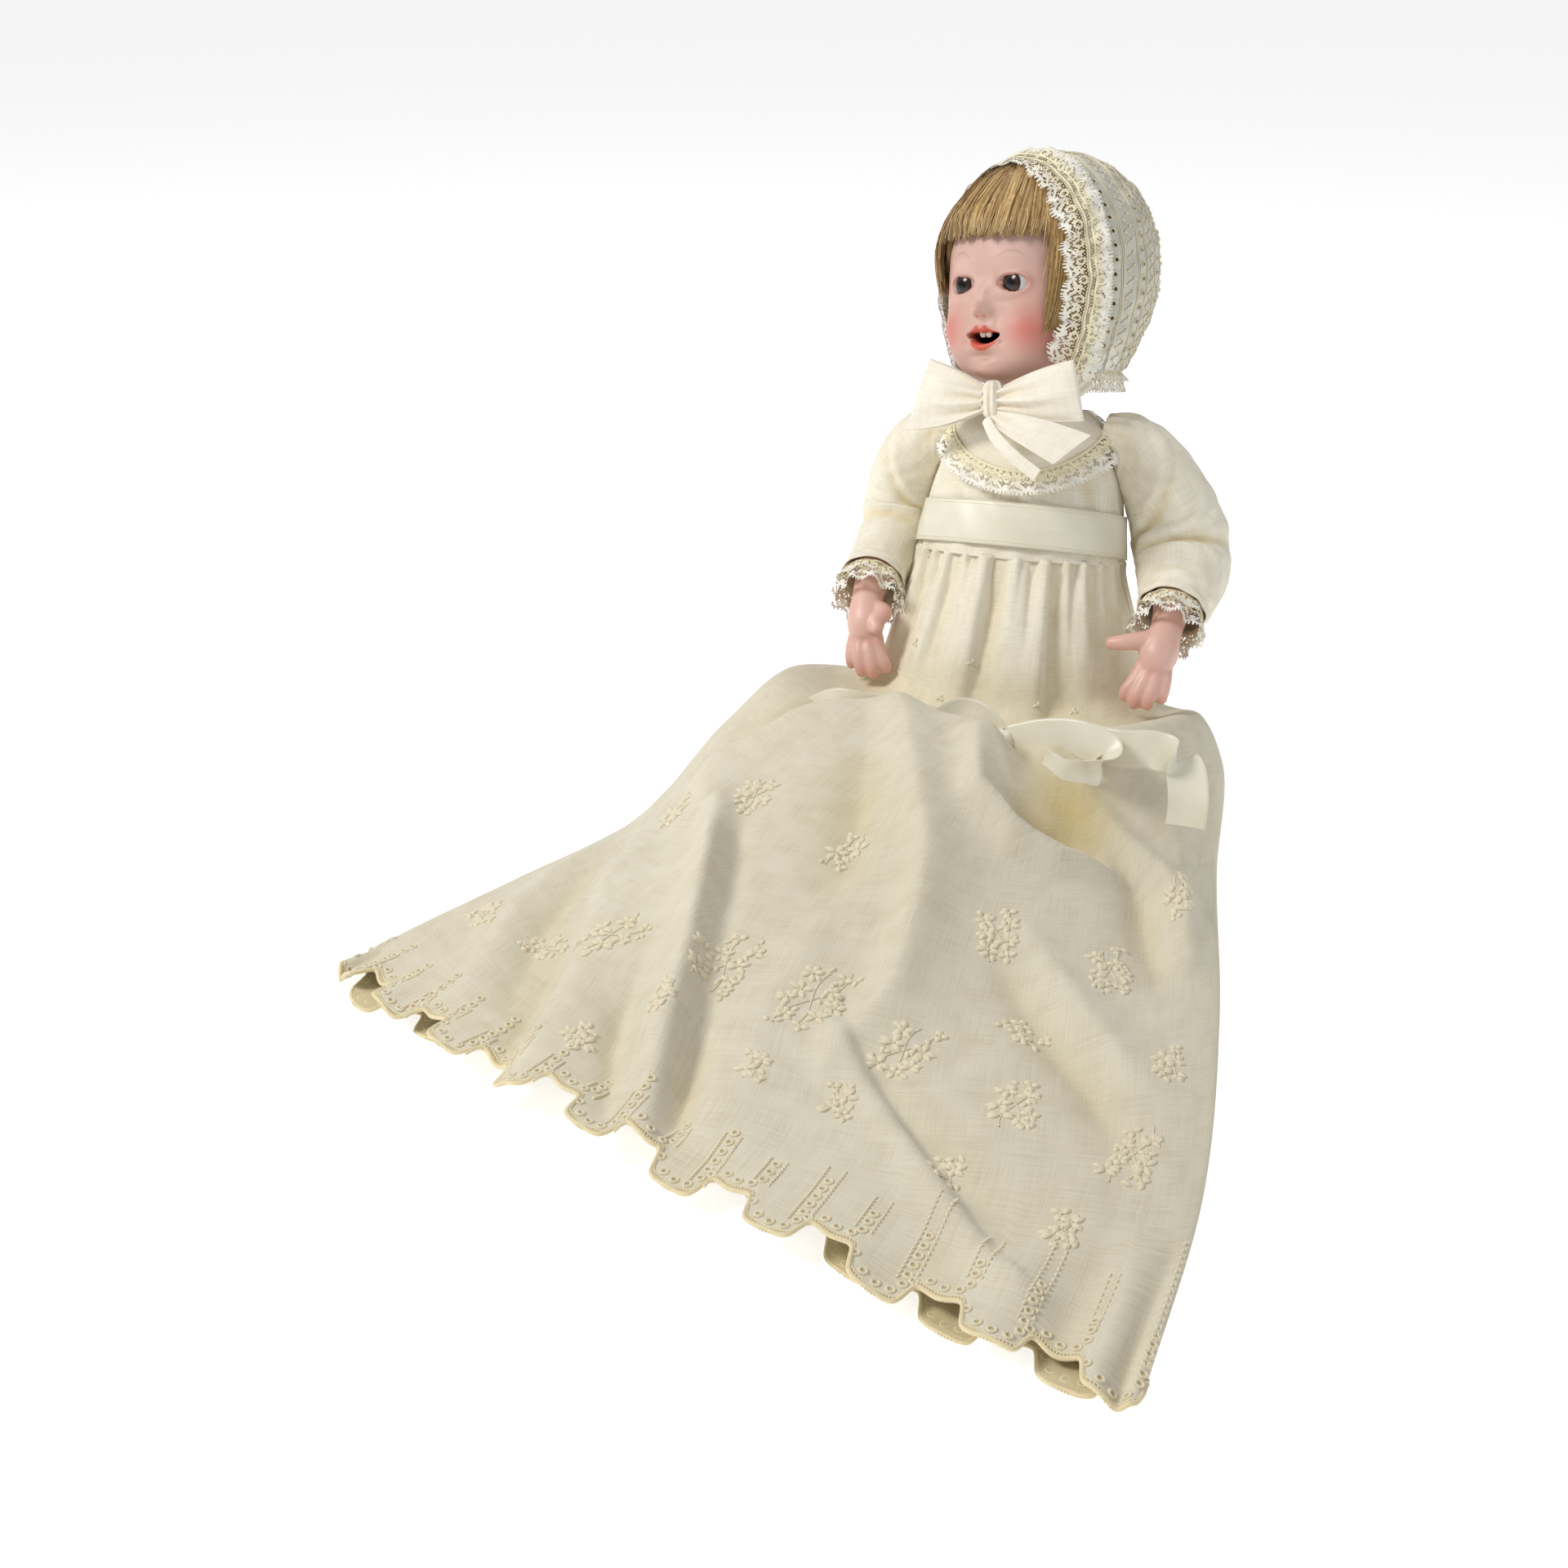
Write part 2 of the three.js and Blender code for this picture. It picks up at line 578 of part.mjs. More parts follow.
// ---------------------------------------------------------------- gown skirt
// Rings of the skirt from waist to hem, each through four points: front or upper layer, back or
// under layer, the doll's left and its right. The hem is swept towards the doll's right.
function ringAtWaist(z, halfWidth, frontY, backY) {
  const middle = (frontY + backY) / 2;
  const ring = {
    front: [0, frontY, z],
    back: [0, backY, z],
    left: [halfWidth, middle, z],
    right: [-halfWidth, middle, z],
  };
  const leaned = new THREE.Matrix4().makeRotationX(-LEAN);
  for (const side in ring) ring[side] = new THREE.Vector3(...ring[side]).applyMatrix4(leaned).toArray();
  return ring;
}
const SKIRT = [
  ringAtWaist(105.4, 44.9, -39.2, 33.1),
  ringAtWaist(100, 45.6, -40.4, 33.8),
  { front: [0, -38, 72], back: [0, 66, 70], left: [54, 16, 72], right: [-54, 16, 72] },
  { front: [-1, -46, 52], back: [0, 76, 40], left: [60, 10, 52], right: [-60, 10, 52] },
  { front: [-3, -64, 46], back: [0, 84, 14], left: [70, 0, 44], right: [-72, 0, 46] },
  { front: [-14, -96, 60], back: [-2, 80, 0.6], left: [86, -8, 47], right: [-92, -12, 50] },
  { front: [-26, -128, 58], back: [-5, 50, 0], left: [98, -18, 30], right: [-110, -24, 32] },
  { front: [-42, -185, 36], back: [-14, -30, 0], left: [106, -84, 8], right: [-130, -86, 8] },
  { front: [-52, -255, 17], back: [-28, -150, 0], left: [122, -190, 4], right: [-164, -164, 4] },
  { front: [-48, -312, 13], back: [-38, -250, 0], left: [132, -300, 3], right: [-186, -216, 3] },
  { front: [-55, -342, 11], back: [-40, -316, 0], left: [129, -405, 3], right: [-197, -252, 3] },
];
const UNDER_LAYER_Z = CLOTH / 2;

const skirtLines = ['front', 'back', 'left', 'right'].map((side) => {
  return smoothThrough(SKIRT.map((ring) => ring[side]));
});

// A point of the skirt: u goes round from its left over its front, v from waist to hem.
function onSkirt(u, v, lift = 0) {
  const [c, s] = [Math.cos(2 * Math.PI * u), Math.sin(2 * Math.PI * u)];
  const [front, back, left, right] = skirtLines.map((line) => line.getPoint(v));
  const point = left.clone().sub(right).multiplyScalar(c / 2);
  point.addScaledVector(front.clone().sub(back), s / 2);
  point.addScaledVector(left.add(right), (c * c) / 2);
  point.addScaledVector(front.add(back), (s * s) / 2);
  point.z = Math.max(point.z, UNDER_LAYER_Z) + lift;
  return point;
}

add(doll, 'gown_skirt', cut(
  cloth(onSkirt, { around: 32, rows: 18 }),
  block([-400, -600, -50], [400, 300, 0]),
), lawn);

// ---------------------------------------------------------------- satin bow in the lap
// Each loop is a ribbon folded back on itself, and the tails run out to the two sides of the lap.
// The paths are [u, v, lift] over the skirt.
const LAP_RIBBONS = {
  loop_right: [
    [0.236, 0.43, 5], [0.255, 0.43, 9], [0.29, 0.43, 10],
    [0.305, 0.43, 8], [0.29, 0.43, 5.5], [0.25, 0.43, 4],
  ],
  loop_left: [
    [0.185, 0.43, 5], [0.165, 0.43, 10], [0.13, 0.43, 11],
    [0.115, 0.43, 9], [0.13, 0.43, 6.5], [0.17, 0.43, 4.5],
  ],
  tail_right: [[0.235, 0.487, 4], [0.29, 0.487, 4], [0.35, 0.48, 4], [0.4, 0.46, 4]],
  tail_left: [[0.18, 0.487, 4], [0.13, 0.487, 4], [0.08, 0.475, 4], [0.03, 0.472, 4]],
};

for (const [name, path] of Object.entries(LAP_RIBBONS)) {
  const points = path.map((p) => onSkirt(...p).toArray());
  const middle = path[1];
  const across = onSkirt(middle[0], middle[1] + 0.02).sub(onSkirt(middle[0], middle[1] - 0.02));
  add(doll, `lap_bow_${name}`, band(points, RIBBON_WIDTH - 4, 0.9, across.toArray(), 14), satin);
}
add(doll, 'lap_bow_knot', ellipsoid([5, 4.5, 3.6], onSkirt(0.21, 0.43, 6).toArray(), 12), satin);

// ---------------------------------------------------------------- lace bonnet
const BONNET_RIM_Y = -15; // the rim's plane in the middle of the head
const BONNET_SLANT = 0.17; // the rim comes further forward on the doll's left, by this much per unit
const BONNET_EDGE_Z = 12;

// A block whose faces across the head follow the slanted rim.
function slanted(low, high) {
  return block(low, high).rotateZ(-Math.atan(BONNET_SLANT));
}

function bonnetShell(grow, thickness, around, rows) {
  const outside = stack(BONNET, { offset: grow + thickness, around, rows });
  const inside = stack(BONNET, { offset: grow, around, rows });
  return [outside, inside];
}

function bonnet() {
  const front = slanted([-120, -120, -60], [120, BONNET_RIM_Y, 140]);
  const below = block([-80, -90, -60], [80, 90, BONNET_EDGE_Z]);
  return cut(...bonnetShell(0, CLOTH, 28, 16), front, below);
}

function bonnetFaceLace() {
  const front = slanted([-120, -120, -60], [120, BONNET_RIM_Y - 6, 140]);
  const behind = slanted([-120, BONNET_RIM_Y + 8, -60], [120, 120, 140]);
  const below = block([-80, -90, -60], [80, 90, BONNET_EDGE_Z + 2]);
  return cut(...bonnetShell(CLOTH + 0.6, 1, 28, 16), front, behind, below);
}

function bonnetNapeLace() {
  const front = block([-80, -90, -60], [80, BONNET_RIM_Y + 22, 140]);
  const above = block([-80, -90, BONNET_EDGE_Z - GAP], [80, 90, 140]);
  const below = block([-80, -90, -60], [80, 90, BONNET_EDGE_Z - 8]);
  return cut(...bonnetShell(0, CLOTH, 28, 16), front, above, below);
}

add(head, 'bonnet', bonnet(), lawn);
add(head, 'bonnet_face_lace', bonnetFaceLace(), lace);
add(head, 'bonnet_nape_lace', bonnetNapeLace(), lace);

// ---------------------------------------------------------------- bonnet ties and chin bow
const KNOT = [5, -40, 1.5];

// A bow loop: a plump leaf, narrow at the knot and flattened front to back. It runs out to one side
// and swings back or, with a negative swing, forward.
function bowLoop(side, length, swing) {
  const leaf = stack([
    [7, 0, 0, 0],
    [8, 3.6, 5, 0],
    [0.47 * length, 4.4, 8.5, 0.5],
    [0.75 * length, 4.6, 11.5, 1],
    [length - 3, 3.6, 11, 1],
    [length, 0, 0, 1],
  ], { around: 14, rows: 9 });
  const [back, up] = [new THREE.Vector3(0, 1, 0), new THREE.Vector3(0, 0, 1)];
  const turn = new THREE.Matrix4().makeBasis(back, up, new THREE.Vector3(1, 0, 0));
  return leaf.applyMatrix4(turn).rotateZ(swing).scale(side, 1, 1).translate(...KNOT);
}

const TIE_LEFT = [[33.5, -12, 8], [31, -20, 4], [25, -27, 1], [17, -31, 1], [9.5, -33.6, 1.5]];
const TIE_RIGHT = [[-33.5, -12, 8], [-31, -20, 4], [-22, -29, 0.5], [-9, -33.5, 0.5], [0.5, -34.4, 1.5]];
const TAIL_UPPER = [[9.5, -40, -8.5], [19, -42, -13.5], [32, -42, -17.5], [47, -40, -21.5]];
const TAIL_LOWER = [[4, -42, -8.5], [10, -45.5, -16.5], [19, -47, -25.5], [28, -47, -33.5]];

add(head, 'bonnet_tie_left', band(TIE_LEFT, 7, 1.2, [0.1, 0.5, 1], 10), lawn);
add(head, 'bonnet_tie_right', band(TIE_RIGHT, 7, 1.2, [-0.1, 0.5, 1], 10), lawn);
add(head, 'chin_bow_knot', ellipsoid([5.6, 5, 7], KNOT, 14), lawn);
add(head, 'chin_bow_loop_left', bowLoop(1, 42, 0.16), lawn);
add(head, 'chin_bow_loop_right', bowLoop(-1, 40, -0.2), lawn);
add(head, 'chin_bow_tail_upper', band(TAIL_UPPER, 11, 1.1, [0.35, 0, 1], 8), lawn);
add(head, 'chin_bow_tail_lower', band(TAIL_LOWER, 5, 1.1, [1, 0, 0.6], 8), lawn);

export default doll;
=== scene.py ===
import json
import math

import bpy
import numpy as np
from mathutils import Matrix, Vector


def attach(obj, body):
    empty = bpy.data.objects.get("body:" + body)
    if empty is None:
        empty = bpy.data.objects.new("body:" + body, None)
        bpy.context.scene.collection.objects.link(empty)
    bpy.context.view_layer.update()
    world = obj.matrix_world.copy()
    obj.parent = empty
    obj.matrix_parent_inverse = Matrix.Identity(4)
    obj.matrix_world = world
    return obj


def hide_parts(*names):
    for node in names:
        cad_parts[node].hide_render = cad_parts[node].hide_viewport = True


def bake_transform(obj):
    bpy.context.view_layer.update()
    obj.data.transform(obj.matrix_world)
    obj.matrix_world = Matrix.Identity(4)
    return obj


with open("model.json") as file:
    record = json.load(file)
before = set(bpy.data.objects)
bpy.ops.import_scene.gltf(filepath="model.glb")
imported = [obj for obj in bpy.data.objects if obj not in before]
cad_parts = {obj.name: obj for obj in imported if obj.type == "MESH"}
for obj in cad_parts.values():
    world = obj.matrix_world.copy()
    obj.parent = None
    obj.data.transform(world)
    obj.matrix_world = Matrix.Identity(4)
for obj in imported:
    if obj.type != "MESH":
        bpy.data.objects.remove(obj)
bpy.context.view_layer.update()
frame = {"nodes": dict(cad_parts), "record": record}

# Shapes are worked out in millimetres in three frames: the row frame, which is the CAD frame, the
# trunk frame, which leans back from it, and the head frame, which sits on the neck.
LEAN, TURN, TILT = math.radians(13.5), math.radians(23), math.radians(4.5)
NECK_Z = 170
rng = np.random.default_rng(7)


TAU = 2 * np.pi
ROUND = np.linspace(-np.pi, np.pi, 361)[:-1]  # once round the trunk or the head


def spin(axis, angle):
    return np.array(Matrix.Rotation(angle, 4, axis))


ROW = np.eye(4)
TRUNK = spin("X", -LEAN)
HEAD = TRUNK @ np.array(Matrix.Translation((0, 0, NECK_Z))) @ spin("Y", -TILT) @ spin("Z", -TURN)


def moved(points, matrix):
    return points @ matrix[:3, :3].T + matrix[:3, 3]


# ---------------------------------------------------------------- camera, light and floor
CAMERA_AZIMUTH, CAMERA_HEIGHT = math.radians(18), math.radians(24)
CAMERA_PLACE, CAMERA_LENS = (0.1790, -0.8691, 0.3918), 48.75


def make_camera():
    away = Vector((math.sin(CAMERA_AZIMUTH) * math.cos(CAMERA_HEIGHT),
                   -math.cos(CAMERA_AZIMUTH) * math.cos(CAMERA_HEIGHT),
                   math.sin(CAMERA_HEIGHT)))
    right = Vector((math.cos(CAMERA_AZIMUTH), math.sin(CAMERA_AZIMUTH), 0))
    turn = Matrix((right, away.cross(right), away)).transposed().to_4x4()
    data = bpy.data.cameras.new("camera")
    data.lens, data.sensor_width = CAMERA_LENS, 36
    data.clip_end = 20
    camera = bpy.data.objects.new("camera", data)
    camera.matrix_world = Matrix.Translation(CAMERA_PLACE) @ turn
    bpy.context.scene.collection.objects.link(camera)
    bpy.context.scene.camera = camera


LAMP_AIM = (0, -0.1, 0.1)
LAMPS = [  # name, place, size, power, colour
    ("key", (-1.0, -0.7, 1.25), 0.5, 17, (1, 0.985, 0.96)),
    ("fill", (1.3, -0.9, 0.8), 1.3, 2.5, (1, 1, 1)),
    ("top", (0.1, 0.5, 1.5), 1.2, 4, (1, 1, 1)),
]
SKY_COLOUR, SKY_STRENGTH = (0.96, 0.97, 1, 1), 0.36


def area_light(name, place, aim, size, power, colour):
    data = bpy.data.lights.new(name, "AREA")
    data.size, data.energy, data.color = size, power, colour
    light = bpy.data.objects.new(name, data)
    light.location = place
    light.rotation_euler = (Vector(aim) - Vector(place)).to_track_quat("-Z", "Y").to_euler()
    bpy.context.scene.collection.objects.link(light)


def make_lights():
    for name, place, size, power, colour in LAMPS:
        area_light(name, place, LAMP_AIM, size, power, colour)
    world = bpy.data.worlds.new("studio")
    bpy.context.scene.world = world
    world.use_nodes = True
    sky = world.node_tree.nodes["Background"].inputs
    sky["Color"].default_value, sky["Strength"].default_value = SKY_COLOUR, SKY_STRENGTH
    bpy.context.scene.view_settings.view_transform = "Standard"


make_camera()
make_lights()


# ---------------------------------------------------------------- materials
class Finish:
    """A material built round one Principled shader. Numbers go straight onto its sockets."""

    def __init__(self, name, roughness=0.5, bump=0.0, bump_distance=0.0003, **sockets):
        self.material = bpy.data.materials.new(name)
        self.material.use_nodes = True
        self.tree = self.material.node_tree
        self.shader = self.tree.nodes["Principled BSDF"]
        self.shader.inputs["Roughness"].default_value = roughness
        for key, value in sockets.items():
            self.shader.inputs[key.replace("_", " ")].default_value = value
        if bump:
            self.bump = self.node("ShaderNodeBump", Strength=bump, Distance=bump_distance)
            self.tree.links.new(self.bump.outputs["Normal"], self.shader.inputs["Normal"])

    def node(self, kind, settings=(), **sockets):
        made = self.tree.nodes.new(kind)
        for key, value in dict(settings).items():
            setattr(made, key, value)
        for key, value in sockets.items():
            self.feed(made.inputs[key.replace("_", " ")], value)
        return made

    def feed(self, socket, value):
        if isinstance(value, bpy.types.NodeSocket):
            self.tree.links.new(value, socket)
        else:
            socket.default_value = value

    def maths(self, operation, a, b=0.0):
        made = self.node("ShaderNodeMath", {"operation": operation})
        self.feed(made.inputs[0], a)
        self.feed(made.inputs[1], b)
        return made.outputs[0]

    def place(self, attribute=None, scale=(1, 1, 1)):
        """The object's own coordinates, or a named attribute of the mesh, scaled."""
        if attribute:
            made = self.node("ShaderNodeAttribute", {"attribute_name": attribute}).outputs["Vector"]
        else:
            made = self.node("ShaderNodeTexCoord").outputs["Object"]
        return self.node("ShaderNodeMapping", Vector=made, Scale=scale).outputs["Vector"]

    def noise(self, place, scale, detail=3.0):
        return self.node("ShaderNodeTexNoise", Vector=place, Scale=scale, Detail=detail).outputs["Fac"]

    def ramp(self, fac, *stops):
        made = self.node("ShaderNodeValToRGB", Fac=fac)
        elements = made.color_ramp.elements
        while len(elements) < len(stops):
            elements.new(0.5)
        for element, (position, colour) in zip(elements, stops):
            element.position = position
            element.color = (*colour, 1)
        return made.outputs["Color"]

    def mix(self, fac, a, b, how="MIX"):
        made = self.node("ShaderNodeMix", {"data_type": "RGBA", "blend_type": how})
        self.feed(made.inputs[0], fac)
        for socket, value in ((made.inputs[6], a), (made.inputs[7], b)):
            self.feed(socket, (*value, 1) if isinstance(value, tuple) else value)
        return made.outputs[2]

    def tint(self):
        return self.node("ShaderNodeAttribute", {"attribute_name": "tint"}).outputs["Color"]

    def colour(self, value):
        self.feed(self.shader.inputs["Base Color"], value)

    def height(self, value):
        self.feed(self.bump.inputs["Height"], value)


def srgb(r, g, b):
    """A display colour, 0 to 255, as the linear colour that a shader takes."""
    return tuple((c / 255 / 12.92 if c < 10 else ((c / 255 + 0.055) / 1.055) ** 2.4) for c in (r, g, b))


def woven(name, low, high, thread=0.42, slub=0.5, roughness=0.8, bump=0.35, **sockets):
    """Plain-woven cotton. The weave follows the cloth: its attribute `lay` is in millimetres."""
    finish = Finish(name, roughness, bump, 0.00025, **sockets)
    lay = finish.place("lay")
    warp = finish.noise(finish.place("lay", (1 / thread, 0.05, 1)), 1.0, 2)
    weft = finish.noise(finish.place("lay", (0.05, 1 / thread, 1)), 1.0, 2)
    threads = finish.maths("ADD", warp, weft)
    mottle = finish.noise(lay, 0.09, 4)
    shade = finish.maths("ADD", finish.maths("MULTIPLY", threads, slub),
                         finish.maths("MULTIPLY", mottle, 0.4))
    cloth = finish.ramp(shade, (0.45, low), (1.0 if slub > 0.6 else 0.78, high))
    finish.colour(finish.mix(1.0, cloth, finish.tint(), "MULTIPLY"))
    checks = []
    for scale in ((1 / thread, 0, 0), (0, 1 / thread, 0)):
        ripple = finish.node("ShaderNodeTexWave",
                             Vector=finish.place("lay", scale), Scale=0.3183, Distortion=0.6)
        checks.append(ripple.outputs["Fac"])
    finish.height(finish.maths("ADD", finish.maths("MULTIPLY", checks[0], checks[1]), threads))
    return finish.material


LAWN = woven("gown_lawn", srgb(218, 209, 184), srgb(239, 233, 215), Sheen_Weight=0.15)
BOW_LAWN = woven("bow_lawn", srgb(224, 216, 194), srgb(243, 237, 223), 0.5, Sheen_Weight=0.15)
SHEER = woven("bonnet_lawn", srgb(188, 186, 172), srgb(228, 226, 214), 0.4, Sheen_Weight=0.1, Alpha=0.86)
LACE = woven("cotton_lace", srgb(228, 221, 200), srgb(252, 249, 238), 0.25, 0.7, 0.85, 0.6)
THREAD = woven("embroidery_thread", srgb(218, 204, 168),
               srgb(238, 228, 200), 0.2, 0.7, 0.55, 0.8, Sheen_Weight=0.3)


def satin():
    finish = Finish("ribbon_satin", 0.3, 0.12, 0.0002, Sheen_Weight=0.35, Coat_Weight=0.15,
                    Coat_Roughness=0.35, Anisotropic=0.5)
    along = finish.noise(finish.place("lay", (0.04, 5, 1)), 1.0, 3)
    mottle = finish.noise(finish.place("lay"), 0.05, 2)
    cloth = finish.ramp(finish.maths("ADD", finish.maths("MULTIPLY", along, 0.4),
                                     finish.maths("MULTIPLY", mottle, 0.6)),
                        (0.3, srgb(223, 216, 192)), (0.75, srgb(240, 237, 221)))
    finish.colour(finish.mix(1.0, cloth, finish.tint(), "MULTIPLY"))
    finish.height(along)
    return finish.material


SATIN = satin()


def painted(name, gloss, speckle=0.12):
    """Bisque or painted composition: the colour is in the mesh, with a faint mottle over it."""
    finish = Finish(name, gloss, 0.05, 0.0002, Coat_Weight=0.08, Coat_Roughness=0.4, Subsurface_Weight=0.12,
                    Subsurface_Radius=(0.004, 0.002, 0.0015), Subsurface_Scale=0.5)
    fine = finish.noise(finish.place(), 900, 3)
    broad = finish.noise(finish.place(), 60, 3)
    mottle = finish.ramp(broad, (0.3, (1, 1, 1)), (0.7, (1 - speckle, 1 - speckle * 1.3, 1 - speckle * 1.4)))
    finish.colour(finish.mix(1.0, finish.tint(), mottle, "MULTIPLY"))
    finish.height(fine)
    return finish.material


BISQUE = painted("painted_bisque", 0.52)
FLESH_PAINT = painted("flesh_paint", 0.42)


def grained(name, low, high, scale, roughness, stretch=(1, 1, 1), bump=0.3, **sockets):
    """A solid with a mottled or grained surface in its own coordinates."""
    finish = Finish(name, roughness, bump, 0.0003, **sockets)
    grain = finish.noise(finish.place(None, stretch), scale, 5)
    finish.colour(finish.ramp(grain, (0.3, low), (0.7, high)))
    finish.height(grain)
    return finish.material


COMPOSITION = grained("composition_body", srgb(214, 172, 152), srgb(226, 188, 170), 90, 0.45, bump=0.08)
STEEL = grained("drawn_wire", (0.28, 0.29, 0.3), (0.5, 0.51, 0.52), 700, 0.35, (1, 1, 0.1), Metallic=1.0)
LEAD = grained("cast_lead", (0.08, 0.085, 0.09), (0.2, 0.21, 0.22), 260, 0.6, Metallic=0.9)
CORK = grained("cut_cork", srgb(140, 98, 58), srgb(196, 156, 106), 520, 0.9, bump=0.8)
WOOD = grained("turned_wood", srgb(160, 120, 76), srgb(206, 172, 122), 160, 0.6, (1, 1, 6))
CARD = grained("pressed_card", srgb(140, 122, 92), srgb(170, 152, 118), 240, 0.9, bump=0.6)
ELASTIC = grained("covered_elastic", srgb(210, 200, 176), srgb(238, 232, 214), 900, 0.9, (1, 1, 3), 0.9)
PEARL = grained("shell_button", srgb(222, 214, 202), srgb(250, 246, 238), 200, 0.2, Coat_Weight=0.6)
ENAMEL = grained("tooth_enamel", srgb(216, 208, 196), srgb(240, 234, 224), 300, 0.18, bump=0.05)


def glass_eye():
    finish = Finish("blown_glass_eye", 0.2, Coat_Weight=0.35, Coat_Roughness=0.04, Specular_IOR_Level=0.25)
    streak = finish.noise(finish.place(), 900, 3)
    streaked = finish.ramp(streak, (0.3, (0.75, 0.75, 0.75)), (0.75, (1, 1, 1)))
    finish.colour(finish.mix(1.0, finish.tint(), streaked, "MULTIPLY"))
    return finish.material


def hair_finish():
    finish = Finish("mohair", 0.42, 0.0, Sheen_Weight=0.2, Anisotropic=0.4, Specular_IOR_Level=0.4)
    shade = finish.noise(finish.place(), 500, 3)
    worn = finish.ramp(shade, (0.3, (0.8, 0.78, 0.74)), (0.7, (1.08, 1.06, 1.0)))
    finish.colour(finish.mix(1.0, finish.tint(), worn, "MULTIPLY"))
    return finish.material


EYE_GLASS = glass_eye()
MOHAIR = hair_finish()

for slot, made in {
    "composition": COMPOSITION, "steel": STEEL, "elastic": ELASTIC, "wood": WOOD, "card": CARD,
    "enamel": ENAMEL, "lead": LEAD, "cork": CORK, "pearl": PEARL,
}.items():
    for part in frame["record"]["subparts"]:
        if part["material_slot"] == slot:
            node = frame["nodes"][part["node"]]
            node.data.materials.clear()
            node.data.materials.append(made)


# ---------------------------------------------------------------- mesh helpers
def smooth(points, t):
    """Points at t, 0 to 1, on the smooth centripetal line that the CAD draws through the given ones."""
    p = np.asarray(points, float)
    p = np.vstack([2 * p[0] - p[1], p, 2 * p[-1] - p[-2]])
    spot = np.clip(np.asarray(t, float), 0, 1) * (len(p) - 3)
    i = np.minimum(spot.astype(int), len(p) - 4)
    w = (spot - i)[..., None]
    a, b, c, d = p[i], p[i + 1], p[i + 2], p[i + 3]

    def gap(m, n):
        return np.maximum(np.linalg.norm(n - m, axis=-1, keepdims=True), 1e-4) ** 0.5

    ab, bc, cd = gap(a, b), gap(b, c), gap(c, d)
    into = ((b - a) / ab - (c - a) / (ab + bc) + (c - b) / bc) * bc
    out = ((c - b) / bc - (d - b) / (bc + cd) + (d - c) / cd) * bc
    return b + into * w + (-3 * b + 3 * c - 2 * into - out) * w**2 + (2 * b - 2 * c + into + out) * w**3


def heading(path, t):
    """The unit direction of the smooth line at t."""
    return unit(smooth(path, np.minimum(t + 0.01, 1)) - smooth(path, np.maximum(t - 0.01, 0)))


def step(low, high, x):
    t = np.clip((np.asarray(x, float) - low) / (high - low), 0, 1)
    return t * t * (3 - 2 * t)


def bell(x, centre, width):
    return np.exp(-(((x - centre) / width) ** 2))


def unit(vectors, least=1e-9):
    """The vectors at length one. Shorter ones than least are left short."""
    return vectors / np.maximum(np.linalg.norm(vectors, axis=-1, keepdims=True), least)


def run_along(path):
    """The length from the start of a path to each of its points."""
    return np.concatenate([[0], np.cumsum(np.linalg.norm(np.diff(path, axis=0), axis=1))])


def normals(points, quads):
    across = np.cross(points[quads[:, 2]] - points[quads[:, 0]], points[quads[:, 3]] - points[quads[:, 1]])
    total = np.zeros_like(points)
    for corner in range(4):
        np.add.at(total, quads[:, corner], across)
    return unit(total, 1e-12)


def grid_quads(rows, columns, wrap=False):
    index = np.arange(rows * columns).reshape(rows, columns)
    nearer = np.roll(index, -1, axis=1) if wrap else index[:, 1:]
    here = index if wrap else index[:, :-1]
    return np.stack([here[:-1], nearer[:-1], nearer[1:], here[1:]], axis=-1)


def grid_normals(points, wrap):
    return normals(points.reshape(-1, 3),
                   grid_quads(*points.shape[:2], wrap).reshape(-1, 4)).reshape(points.shape)


def rim_edges(quads, count):
    """Directed edges that only one face uses."""
    edges = np.concatenate([quads[:, [k, (k + 1) % 4]] for k in range(4)])
    key = edges[:, 0].astype(np.int64) * count + edges[:, 1]
    back = edges[:, 1].astype(np.int64) * count + edges[:, 0]
    return edges[~np.isin(back, key)]


LAWN_THICKNESS, BOW_THICKNESS, LACE_CELL = 0.5, 0.45, 0.38


